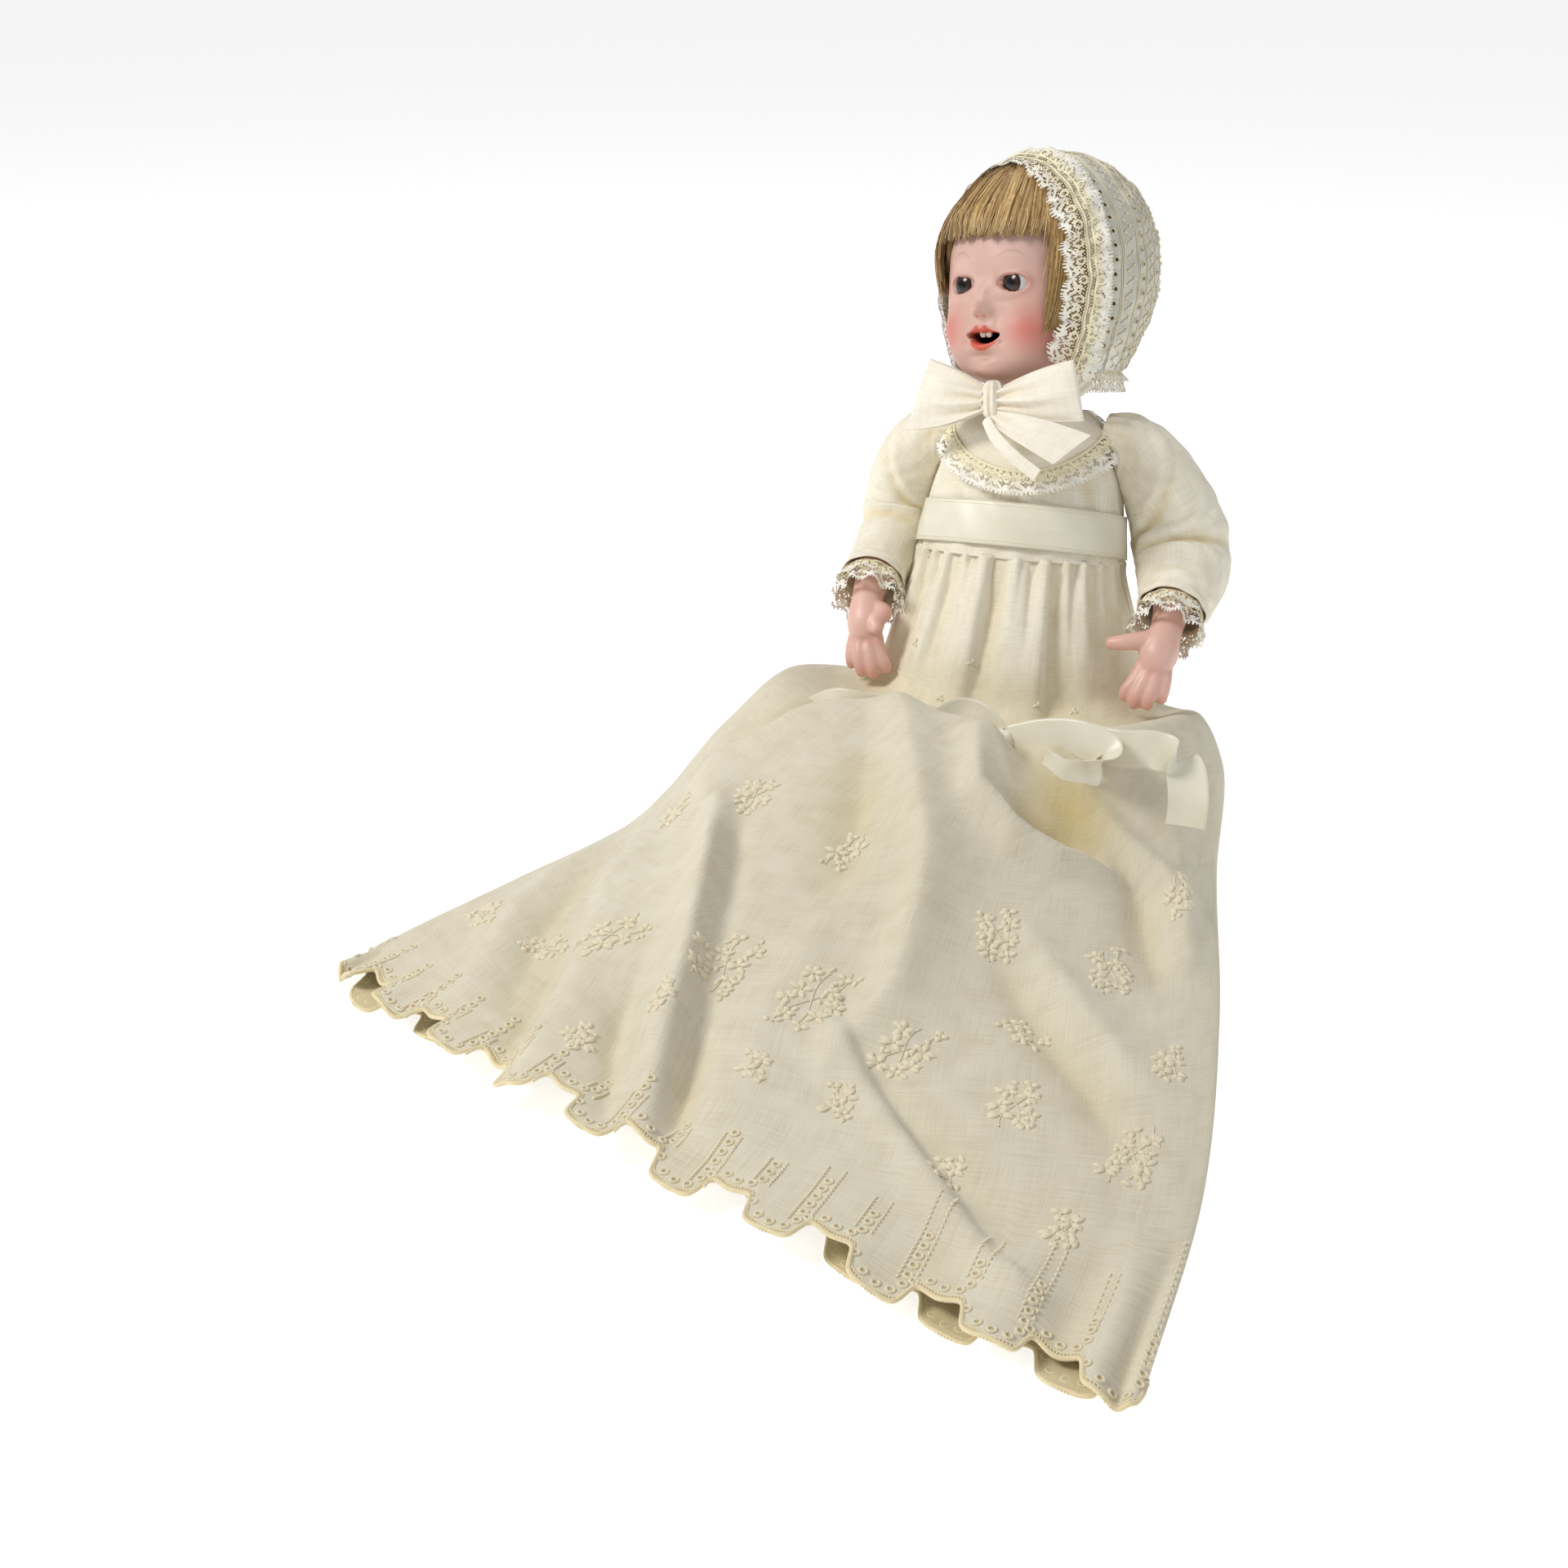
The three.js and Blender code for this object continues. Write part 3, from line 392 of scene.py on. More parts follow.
class Sheet:
    """Points, faces, a colour and a cloth coordinate per point, before they become a Blender mesh."""

    def __init__(self, points, quads, tint=(1, 1, 1), lay=None):
        self.points = np.asarray(points, float).reshape(-1, 3)
        self.quads = np.asarray(quads).reshape(-1, 4)
        tint = np.asarray(tint, float)
        self.tint = np.broadcast_to(tint, self.points.shape).copy() if tint.ndim == 1 else tint.reshape(-1, 3)
        self.lay = self.points[:, [0, 2]].copy() if lay is None else np.asarray(lay, float).reshape(-1, 2)

    def tidy(self):
        """Drops the points that no face uses."""
        used, self.quads = np.unique(self.quads, return_inverse=True)
        self.quads = self.quads.reshape(-1, 4)
        self.points, self.tint, self.lay = self.points[used], self.tint[used], self.lay[used]
        return self

    def eased(self, turns=3, amount=0.5):
        """Rounds the stair-steps off a cut edge."""
        edges = rim_edges(self.quads, len(self.points))
        both = np.concatenate([edges, edges[:, ::-1]])
        for _ in range(turns):
            total, count = np.zeros_like(self.points), np.zeros(len(self.points))
            np.add.at(total, both[:, 0], self.points[both[:, 1]])
            np.add.at(count, both[:, 0], 1)
            rim = count > 0
            self.points[rim] += amount * (total[rim] / count[rim, None] - self.points[rim])
        return self

    def thick(self, thickness, outward=0.5):
        """Closes the sheet into a solid. outward is the share of the thickness that goes outside."""
        n, size = normals(self.points, self.quads), len(self.points)
        rim = rim_edges(self.quads, size)
        walls = np.stack([rim[:, 1], rim[:, 0], rim[:, 0] + size, rim[:, 1] + size], axis=-1)
        outer, inner = self.points + n * thickness * outward, self.points - n * thickness * (1 - outward)
        return Sheet(np.vstack([outer, inner]), np.vstack([self.quads, self.quads[:, ::-1] + size, walls]),
                     np.vstack([self.tint] * 2), np.vstack([self.lay] * 2))

    def mirrored(self):
        return Sheet(self.points * [-1, 1, 1], self.quads[:, ::-1], self.tint, self.lay)


def together(sheets):
    sheets = list(sheets)
    starts = np.cumsum([0] + [len(s.points) for s in sheets[:-1]])
    return Sheet(np.vstack([s.points for s in sheets]),
                 np.vstack([s.quads + k for s, k in zip(sheets, starts)]),
                 np.vstack([s.tint for s in sheets]), np.vstack([s.lay for s in sheets]))


def attribute(mesh, name, kind, field, values, last):
    """Gives a mesh one row of numbers per point, each with the same last number added."""
    rows = np.hstack([values, np.full((len(values), 1), last)]).astype(np.float32)
    mesh.attributes.new(name, kind, "POINT").data.foreach_set(field, rows.ravel())


def blended(colour, amount, other):
    """Colours turned towards another one by amount, 0 to 1."""
    return colour * (1 - amount) + np.array(other) * amount


def piece(name, sheet, place, material, body=None, replaces=()):
    """A Blender mesh object from a sheet in millimetres. Quads whose last corners match are triangles."""
    quads = sheet.quads.astype(np.int32)
    mesh = bpy.data.meshes.new(name)
    mesh.vertices.add(len(sheet.points))
    mesh.vertices.foreach_set("co", (moved(sheet.points, place) / 1000).astype(np.float32).ravel())
    mesh.loops.add(quads.size)
    mesh.loops.foreach_set("vertex_index", quads.ravel())
    mesh.polygons.add(len(quads))
    mesh.polygons.foreach_set("loop_start", np.arange(0, quads.size, 4, dtype=np.int32))
    mesh.polygons.foreach_set("use_smooth", np.ones(len(quads), bool))
    mesh.update(calc_edges=True)
    attribute(mesh, "tint", "FLOAT_COLOR", "color", sheet.tint, 1)
    attribute(mesh, "lay", "FLOAT_VECTOR", "vector", sheet.lay, 0)
    made = bpy.data.objects.new(name, mesh)
    bpy.context.scene.collection.objects.link(made)
    mesh.materials.append(material)
    if body:
        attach(made, body)
    if replaces:
        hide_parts(*replaces)
    return made


def declare(made):
    """Reads the area of each face of a made piece, and does nothing more with them. Its area is the cloth's
    own, without the openings in lace.
    A solidified cloth has two layers of faces, and lace has one."""
    areas = np.empty(len(made.data.polygons), np.float32)
    made.data.polygons.foreach_get("area", areas)


class Field:
    """A grid of points that carries trims: any place (row, column) on it has a point and a normal."""

    def __init__(self, points, wrap=False):
        self.grid, self.wrap = points, wrap
        self.normal = grid_normals(points, wrap)

    def at(self, row, column, lift=0.0):
        rows, columns, _ = self.grid.shape
        row = np.clip(np.asarray(row, float), 0, rows - 1.001)
        column = np.asarray(column, float)
        column = column % columns if self.wrap else np.clip(column, 0, columns - 1.001)
        i, j = row.astype(int), column.astype(int)
        a, b = (row - i)[..., None], (column - j)[..., None]
        i2, j2 = np.minimum(i + 1, rows - 1), (j + 1) % columns
        point, normal = (
            (g[i, j] * (1 - b) + g[i, j2] * b) * (1 - a) + (g[i2, j] * (1 - b) + g[i2, j2] * b) * a
            for g in (self.grid, self.normal)
        )
        normal = unit(normal)
        return point + normal * np.asarray(lift)[..., None], normal


def tube(path, radius, sides=5, tint=(1, 1, 1), closed=False):
    """A round thread along a path of points."""
    path = np.asarray(path, float)
    ahead = unit(np.roll(path, -1, axis=0) - np.roll(path, 1, axis=0)
                 if closed else np.gradient(path, axis=0))
    guide = np.where(np.abs(ahead[:, 2:]) < 0.9, [[0, 0, 1.0]], [[1.0, 0, 0]])
    side = unit(np.cross(ahead, guide))
    over = np.cross(side, ahead)
    angle = np.linspace(0, TAU, sides, endpoint=False)
    size = np.broadcast_to(np.asarray(radius, float), (len(path),))[:, None, None]
    ring = path[:, None] + size * (np.cos(angle)[None, :, None] * side[:, None]
                                   + np.sin(angle)[None, :, None] * over[:, None])
    quads = grid_quads(len(path), sides, True).reshape(-1, 4)
    if closed:
        last, first = (len(path) - 1) * sides + np.arange(sides), np.arange(sides)
        quads = np.vstack([quads, np.stack([last, np.roll(last, -1), np.roll(first, -1), first], axis=-1)])
    lay = np.stack(np.broadcast_arrays(run_along(path)[:, None], angle[None] * 0.3), axis=-1)
    return Sheet(ring, quads, tint, lay)


def stitches(places, normal, along, length, width, height, tint=(1, 1, 1)):
    """Raised satin stitches: one small lens per place, pointing along the given directions."""
    n = np.asarray(normal)
    a = unit(np.asarray(along) - n * np.sum(np.asarray(along) * n, axis=1, keepdims=True))
    b = np.cross(n, a)
    rows, around = 5, 6
    t = np.linspace(0, 1, rows)
    angle = np.linspace(0, TAU, around, endpoint=False)
    body = np.sin(np.pi * t) ** 0.6
    x = np.broadcast_to((t - 0.5)[:, None], (rows, around))
    y = 0.5 * body[:, None] * np.cos(angle)
    z = body[:, None] * np.sin(angle)
    length, width, height = (np.broadcast_to(np.asarray(v, float), (len(n),))[:, None, None]
                             for v in (length, width, height))
    shape = (np.asarray(places)[:, None, None] + (x * length)[..., None] * a[:, None, None]
             + (y * width)[..., None] * b[:, None, None] + (z * height)[..., None] * n[:, None, None])
    quads = grid_quads(rows, around, True).reshape(-1, 4)
    every = quads[None] + (np.arange(len(n)) * rows * around)[:, None, None]
    return Sheet(shape.reshape(-1, 3), every.reshape(-1, 4), tint)


# ---------------------------------------------------------------- trunk and gown skirt
def profile(rings):
    """Half width, half depth and centre y of a stack of rings at any height."""
    fine = np.linspace(0, 1, 800)
    size = smooth(rings[:, [1, 2, 0]], fine)
    middle = smooth(np.column_stack([0 * rings[:, 0], rings[:, 3], rings[:, 0]]), fine)
    return lambda z: (np.interp(z, size[:, 2], size[:, 0]), np.interp(z, size[:, 2], size[:, 1]),
                      np.interp(z, middle[:, 2], middle[:, 1]))


TORSO_RINGS = np.array([
    [-5, 0, 0, 0], [-3, 22, 18, 0], [8, 38, 30, -2], [32, 45, 37, -4], [60, 46, 38, -5], [90, 43.5, 35, -4],
    [118, 41, 32, -2], [140, 37, 28, 0], [157, 31, 24, 0], [166, 21, 19, 0], [170, 14, 14, 0], [171, 0, 0, 0],
], float)
SHOULDER = np.array([42, 0, 155.0])
WAIST_Z, BODICE_TOP_Z, RIBBON_WIDTH = 107.0, 169.0, 18.0
torso_profile = profile(TORSO_RINGS)


def waist_ring(z, half_width, front_y, back_y):
    middle = (front_y + back_y) / 2
    ring = np.array([[0, front_y, z], [0, back_y, z], [half_width, middle, z], [-half_width, middle, z]],
                    float)
    return moved(ring, TRUNK).tolist()


# Each ring: front or upper layer, back or under layer, the doll's left, its right.
SKIRT = np.array([
    waist_ring(105.4, 44.9, -39.2, 33.1),
    waist_ring(100, 45.6, -40.4, 33.8),
    [[0, -38, 72], [0, 66, 70], [54, 16, 72], [-54, 16, 72]],
    [[-1, -46, 52], [0, 76, 40], [60, 10, 52], [-60, 10, 52]],
    [[-3, -64, 46], [0, 84, 14], [70, 0, 44], [-72, 0, 46]],
    [[-14, -96, 60], [-2, 80, 0.6], [86, -8, 47], [-92, -12, 50]],
    [[-26, -128, 58], [-5, 50, 0], [98, -18, 30], [-110, -24, 32]],
    [[-42, -185, 36], [-14, -30, 0], [106, -84, 8], [-130, -86, 8]],
    [[-52, -255, 17], [-28, -150, 0], [122, -190, 4], [-164, -164, 4]],
    [[-48, -312, 13], [-38, -250, 0], [132, -300, 3], [-186, -216, 3]],
    [[-55, -342, 11], [-40, -316, 0], [129, -405, 3], [-197, -252, 3]],
], float)
CLOTH_LOW_Z = 0.5
SKIRT_ROWS, SKIRT_COLUMNS, ROW_CROWDING = 300, 560, 0.86  # rows lie closer at the waist
HEM_REPEAT = 40.0  # one tab and one notch of the scalloped hem
HEM_ROWS, HEM_SEARCH_ROWS = 34, 80


def on_skirt(u, v):
    front, back, left, right = (smooth(SKIRT[:, side], v) for side in range(4))
    c, s = np.cos(TAU * u)[..., None], np.sin(TAU * u)[..., None]
    return ((left - right) * c + (front - back) * s + (left + right) * c * c + (front + back) * s * s) / 2


def along_line(x, y, line, widths):
    """How far along a line on the table each point is, 0 to 1, and how many widths to its left."""
    line = np.asarray(line, float)
    best = np.full(x.shape, 1e9)
    side, place = np.zeros(x.shape), np.zeros(x.shape)
    for k, (a, b) in enumerate(zip(line[:-1], line[1:])):
        d = b - a
        t = ((x - a[0]) * d[0] + (y - a[1]) * d[1]) / (d @ d)
        t = np.clip(t, 0, 1)
        dx, dy = x - a[0] - t * d[0], y - a[1] - t * d[1]
        distance = np.hypot(dx, dy)
        near = distance < best
        best = np.where(near, distance, best)
        turn = np.sign(d[0] * dy - d[1] * dx)
        side = np.where(near, distance * turn, side)
        place = np.where(near, (k + t) / (len(line) - 1), place)
    width = np.where(side > 0, widths[0], widths[1])
    return place, side / width


# Folds of the spread gown: a line on the table, its height or depth, and how far each flank reaches.
FOLDS = [
    # the lip over the knees, and the dip behind it where the ribbons lie
    ([(-92, -124), (-72, -108), (-58, -97), (-36, -88), (-12, -86), (6, -90), (19, -102), (28, -117)],
     5.0, (6, 17)),
    ([(-84, -104), (-62, -82), (-36, -70), (-10, -68), (14, -74), (30, -96)], -5.0, (8, 7)),
    ([(52, -96), (70, -106), (88, -112), (100, -122)], 4.0, (6, 9)),
    ([(-36, -62), (-6, -134), (7, -164), (11, -195), (14, -231), (4, -277)], 5.5, (13, 9)),
    ([(11, -104), (19, -131), (35, -139), (53, -137), (70, -128)], 6.5, (8, 6)),
    ([(24, -117), (42, -127), (60, -122)], -5.5, (8, 9)),
    ([(-32, -112), (-24, -150), (-22, -185)], -3.5, (10, 12)),
    ([(-97, -126), (-77, -162), (-69, -204), (-60, -248), (-56, -290)], 5.0, (14, 8)),
    ([(-69, -155), (-62, -195), (-57, -225), (-50, -262)], -3.2, (7, 9)),
    ([(-82, -160), (-70, -195), (-55, -269), (-42, -336)], 4.5, (7, 12)),
    ([(-48, -262), (-40, -300), (-34, -330)], -4.0, (6, 6)),
    ([(-116, -170), (-102, -258), (-93, -325)], 4.0, (20, 7)),
    ([(-112, -205), (-108, -270), (-106, -315)], -3.0, (9, 7)),
    ([(-76, -262), (-70, -290), (-57, -330)], -3.0, (7, 6)),
    ([(0, -250), (11, -269), (32, -297), (58, -329), (83, -360)], -3.2, (10, 4)),
    ([(4, -262), (34, -305), (66, -345), (92, -372)], 2.8, (9, 9)),
    ([(44, -200), (64, -228), (86, -255), (100, -282)], -2.6, (9, 9)),
    ([(52, -180), (78, -214), (104, -246)], 2.2, (9, 8)),
    ([(-20, -200), (-26, -260), (-14, -320)], 2.0, (16, 12)),
    ([(-140, -150), (-146, -200), (-138, -262)], 2.4, (10, 10)),
    ([(-128, -160), (-128, -215), (-120, -270)], -2.6, (8, 8)),
    ([(60, -100), (84, -132), (98, -180)], -3.0, (10, 10)),
    ([(84, -66), (98, -110), (108, -160)], 3.0, (8, 10)),
]
FOLD_GAIN = 1.9
TRUNK_EASE = 1.3  # the least room between the trunk and the skirt
# Pleats under the waist ribbon: angle round the waist in turns, depth and how far down they run.
PLEATS = [
    (0.398, 4.8, 0.4), (0.366, 3.6, 0.22), (0.335, 4.2, 0.3), (0.304, 2.6, 0.16), (0.262, 6.0, 0.36),
    (0.221, 2.6, 0.18), (0.205, 3.2, 0.22), (0.174, 6.4, 0.42), (0.142, 3.4, 0.24), (0.112, 4.4, 0.3),
    (0.078, 2.2, 0.2), (0.43, 2.6, 0.22), (0.462, 2.4, 0.24), (0.04, 2.4, 0.24), (0.01, 2.2, 0.2),
]


def skirt_grid():
    u = np.arange(SKIRT_COLUMNS) / SKIRT_COLUMNS
    v = np.linspace(0, 1, SKIRT_ROWS) ** ROW_CROWDING
    u, v = np.meshgrid(u, v)
    points = on_skirt(u, v)
    n = grid_normals(points, True)
    n *= np.sign(np.sum(n * (points - points.mean(axis=1, keepdims=True)), axis=-1).mean())
    upper = step(-0.05, 0.25, np.sin(TAU * u))
    lift = np.zeros(u.shape)
    # gathers at the waist, which open out below it
    for place, depth, reach in PLEATS:
        swing = place + 0.02 * (place - 0.25) * v * 8
        away = (u - swing) * (1 + 0.5 * np.sign(u - swing))
        fade = step(reach * 1.1, reach * 0.35, v) * step(-0.02, 0.05, v)
        lift -= depth * fade * np.exp(-((away / (0.0055 + 0.035 * v)) ** 2))
        lift += 0.45 * depth * fade * np.exp(-(((u - swing - 0.012 - 0.03 * v) / (0.012 + 0.05 * v)) ** 2))
    gather = np.sin(TAU * u * 34 + 2.5 * np.sin(TAU * u * 3))
    behind = step(0.5, 0.53, u) * step(1.0, 0.97, u)
    lift += (1.5 * behind + 0.5) * gather * step(0.2, 0.02, v) * step(-0.01, 0.03, v)
    lift += 2.2 * behind * np.sin(TAU * u * 13 + 2) * bell(v, 0.22, 0.16)
    points = points + n * lift[..., None]
    # the pleats stay outside the trunk
    local = moved(points, np.linalg.inv(TRUNK))
    wide, deep, middle = torso_profile(local[..., 2])
    reach = np.hypot(local[..., 0] / (wide + TRUNK_EASE), (local[..., 1] - middle) / (deep + TRUNK_EASE))
    out = np.where(local[..., 2] > 40, np.maximum(1 / np.maximum(reach, 0.5), 1), 1)
    local[..., 0] *= out
    local[..., 1] = middle + (local[..., 1] - middle) * out
    points = moved(local, TRUNK)
    # folds on the lap and over the table
    x, y = points[..., 0], points[..., 1]
    spread = upper * step(0.34, 0.46, v)
    height = np.zeros(u.shape)
    for line, size, widths in FOLDS:
        place, side = along_line(x, y, line, widths)
        rise = np.sin(np.pi * np.clip(place * 0.9 + 0.05, 0, 1)) ** 0.7
        height += FOLD_GAIN * size * np.exp(-np.abs(side) ** 1.6) * (0.25 + 0.75 * rise)
    # small soft creases and puckers of washed cotton
    ripple = (0.5 * np.sin(x / 9 + 1.3 * np.sin(y / 17)) * np.sin(y / 13 + 2 * np.sin(x / 21))
              + 0.22 * np.sin(x / 4.1 + 2 * np.sin(y / 9)) * np.sin(y / 5.3 + np.sin(x / 7)))
    flutter = 2.4 * np.sin(TAU * u * 17 + 3 * np.sin(TAU * u * 2.3)) * step(0.9, 1.0, v)
    height += 0.8 * ripple + flutter * upper
    points[..., 2] += height * spread
    # the lap pocket behind the knees, where the ribbons lie
    points[..., 2] -= 6 * upper * bell(points[..., 0], 50, 15) * bell(points[..., 1], -110, 13)
    # the under layer shows a little beyond the upper one at the hem
    under = step(0.05, 0.5, -np.sin(TAU * u)) * step(0.9, 1.0, v)
    points[..., 1] -= 10 * under * (1 + 0.9 * np.sin(points[..., 0] / 37))
    points[..., 2] = np.maximum(points[..., 2], CLOTH_LOW_Z + 0.7 * step(0.0, 0.2, np.sin(TAU * u)))
    return u, v, points, lift + height * spread


skirt_u, skirt_v, skirt_points, skirt_relief = skirt_grid()
skirt_field = Field(skirt_points, wrap=True)
hem_run = run_along(skirt_points[-1])


def hem_depth(column):
    """How far the scalloped edge is drawn up from the full hem, in millimetres."""
    s = np.interp(np.asarray(column, float), np.arange(SKIRT_COLUMNS), hem_run)
    wave = np.sin(TAU * s / HEM_REPEAT)
    return 5.6 - 5.6 * np.tanh(4.5 * wave) - 1.6 * np.abs(np.sin(TAU * s / HEM_REPEAT)) ** 3


def hem_row(column, above=0.0):
    """The grid row that lies this far above the scalloped edge."""
    column = np.atleast_1d(np.asarray(column, float))
    near = np.rint(column).astype(int) % SKIRT_COLUMNS
    line = skirt_points[-HEM_SEARCH_ROWS:, near]
    run = np.linalg.norm(np.diff(line[::-1], axis=0), axis=2)
    run = np.vstack([np.zeros(run.shape[1]), np.cumsum(run, axis=0)])
    want = hem_depth(column) + above
    return np.array([SKIRT_ROWS - 1 - np.interp(w, run[:, k], np.arange(HEM_SEARCH_ROWS)) for k,
                     w in enumerate(want)])


def make_skirt():
    columns = np.arange(SKIRT_COLUMNS)
    edge = hem_row(columns)
    rows = np.arange(SKIRT_ROWS)[:, None] * np.ones(SKIRT_COLUMNS)[None]
    # the last rows are drawn up to the scalloped edge
    start = SKIRT_ROWS - HEM_ROWS
    share = ((edge - start) / (SKIRT_ROWS - 1 - start))[None]
    drawn = np.where(rows > start, start + (rows - start) * share, rows)
    points, _ = skirt_field.at(drawn, columns[None] * np.ones((SKIRT_ROWS, 1)))
    across, down = run_along(skirt_points[200]), run_along(skirt_points[:, 140])
    lay = np.stack(np.broadcast_arrays(across[None, :], down[:, None]), axis=-1)
    # low: painted warm shade in the hollows of the folds and pleats
    low = np.clip(-skirt_relief / 6, 0, 1)[..., None]
    warm = 0.5 + 0.5 * np.sin(points[..., :1] / 31 + 1.7) * np.sin(points[..., 1:2] / 41)
    # under: painted shade on the under layer, which lies behind the upper one
    under = step(0.02, 0.3, -np.sin(TAU * skirt_u))[..., None] * step(0.55, 0.8, skirt_v)[..., None]
    # lap: painted warm shade in the dip of the lap where the ribbons lie
    lap = (bell(skirt_v, 0.33, 0.1) * step(0.0, 0.3, np.sin(TAU * skirt_u)))[..., None]
    # pocket: painted warm shade in the pocket behind the knees
    pocket = bell(points[..., 0], 50, 17) * bell(points[..., 1], -108, 16)
    pocket = (pocket * (np.sin(TAU * skirt_u) > 0))[..., None]
    tint = np.ones(points.shape)
    # flat: the cloth from the lap down painted darker than at the waist, as painted shade
    flat = step(0.2, 0.42, skirt_v)[..., None]
    for amount, colour in ((flat, (0.84, 0.83, 0.79)), (0.6 * low, (0.93, 0.86, 0.68)),
                           (0.35 * warm, (0.97, 0.94, 0.88)),
                           (0.8 * under, (0.86, 0.77, 0.52)), (0.45 * lap, (0.96, 0.9, 0.72)),
                           (pocket, (0.94, 0.82, 0.52))):
        tint = tint * (1 - amount) + tint * np.array(colour) * amount
    sheet = Sheet(points, grid_quads(SKIRT_ROWS, SKIRT_COLUMNS, True), tint, lay)
    if np.sum(normals(sheet.points, sheet.quads)[:SKIRT_COLUMNS, 1] * np.sin(TAU * skirt_u[0])) > 0:
        sheet.quads = sheet.quads[:, ::-1]
    made = piece("skirt_cloth", sheet.thick(LAWN_THICKNESS), ROW, LAWN, "body", ["gown_skirt"])
    declare(made)


def hem_trim():
    """A corded edge, eyelets along it, and columns of eyelets that climb from each corner of a tab."""
    count = 1600
    column = np.linspace(0, SKIRT_COLUMNS, count, endpoint=False)
    row = hem_row(column, 0.6)
    edge, _ = skirt_field.at(row, column, 0.3)
    parts = [tube(edge, 0.8, 6, (1, 0.94, 0.78), closed=True)]
    inner, _ = skirt_field.at(hem_row(column, 2.6), column, 0.35)
    parts.append(tube(inner, 0.4, 5, closed=True))
    total = hem_run[-1]
    # buttonhole stitches that bind the edge
    s = np.arange(0, total, 1.1)
    c = np.interp(s, hem_run, np.arange(len(hem_run)))
    place, n = skirt_field.at(hem_row(c, 1.6), c, 0.25)
    outer, _ = skirt_field.at(hem_row(c, 0.2), c, 0.25)
    parts.append(stitches(place, n, outer - place, 3.4, 0.95, 0.6, (1, 0.95, 0.8)))
    centres = []
    for s0 in np.arange(4.5, total, 5.0):
        c0 = np.interp(s0, hem_run, np.arange(len(hem_run)))
        centres.append((hem_row(c0, 5.4)[0], c0))
    for k, s0 in enumerate(np.arange(0, total, HEM_REPEAT / 2)):
        tall = 34 if k % 2 == 0 else 20
        c0 = np.interp(s0 + 2, hem_run, np.arange(len(hem_run)))
        for above in np.arange(9, tall, 4.4):
            centres.append((hem_row(c0, above)[0], c0))
        climb = np.arange(8, tall + 2, 1.6)
        for flank, lean in ((c0 - 0.011 * SKIRT_COLUMNS / 4, 1), (c0 + 0.011 * SKIRT_COLUMNS / 4, -1)):
            line = np.full(len(climb), flank)
            rows = hem_row(c0)[0] - climb / 1.35
            place, n = skirt_field.at(rows, line, 0.3)
            ahead, _ = skirt_field.at(rows - 1, line + 0.4 * lean, 0.3)
            parts.append(stitches(place, n, ahead - place, 2.1, 1.2, 0.7))
    centres = np.array(centres)
    parts += rings_on(skirt_field, centres[:, 0], centres[:, 1], 1.3, 0.62)
    return together(parts)


def rings_on(field, row, column, radius, thread, sides=10, dark=(0.7, 0.62, 0.42), lift=0.25):
    """Eyelets: a stitched ring round a dark opening, on any field. The opening is a disc painted dark, as the
    shade seen through it.
    """
    centre, n = field.at(row, column, lift)
    ahead, _ = field.at(np.asarray(row) + 1, column, lift)
    a = ahead - centre
    a = unit(a - n * np.sum(a * n, axis=1, keepdims=True))
    b = np.cross(n, a)
    angle = np.linspace(0, TAU, sides, endpoint=False)
    round_ = np.linspace(0, TAU, 5, endpoint=False)
    radial = np.cos(angle)[None, :, None] * a[:, None] + np.sin(angle)[None, :, None] * b[:, None]
    shape = (centre[:, None, None] + (radius + thread * np.cos(round_))[None, None, :, None]
             * radial[:, :, None]
             + (thread * np.sin(round_))[None, None, :, None] * n[:, None, None])
    base = grid_quads(sides + 1, 5, True).reshape(-1, 4) % (sides * 5)
    every = base[None] + (np.arange(len(centre)) * sides * 5)[:, None, None]
    ring = Sheet(shape.reshape(-1, 3), every.reshape(-1, 4))
    # the cloth is not cut here: a disc in painted dark shade stands for the opening
    disc = centre[:, None] + (radius * 0.92) * radial + 0.02 * n[:, None]
    fan = np.array([[0, k, k + 1, k + 2] for k in range(1, sides - 2, 2)])
    painted_hole_shade = Sheet(disc.reshape(-1, 3),
                 (fan[None] + (np.arange(len(centre)) * sides)[:, None, None]).reshape(-1, 4), dark)
    return [ring, painted_hole_shade]


def column_row_at(x, y):
    """The place on the upper layer of the skirt over a point of the table."""
    upper = (np.sin(TAU * skirt_u) > 0) & (skirt_v > 0.36)
    far = np.hypot(skirt_points[..., 0] - x, skirt_points[..., 1] - y) + 1e6 * ~upper
    row, column = np.unravel_index(np.argmin(far), far.shape)
    return float(row), float(column)


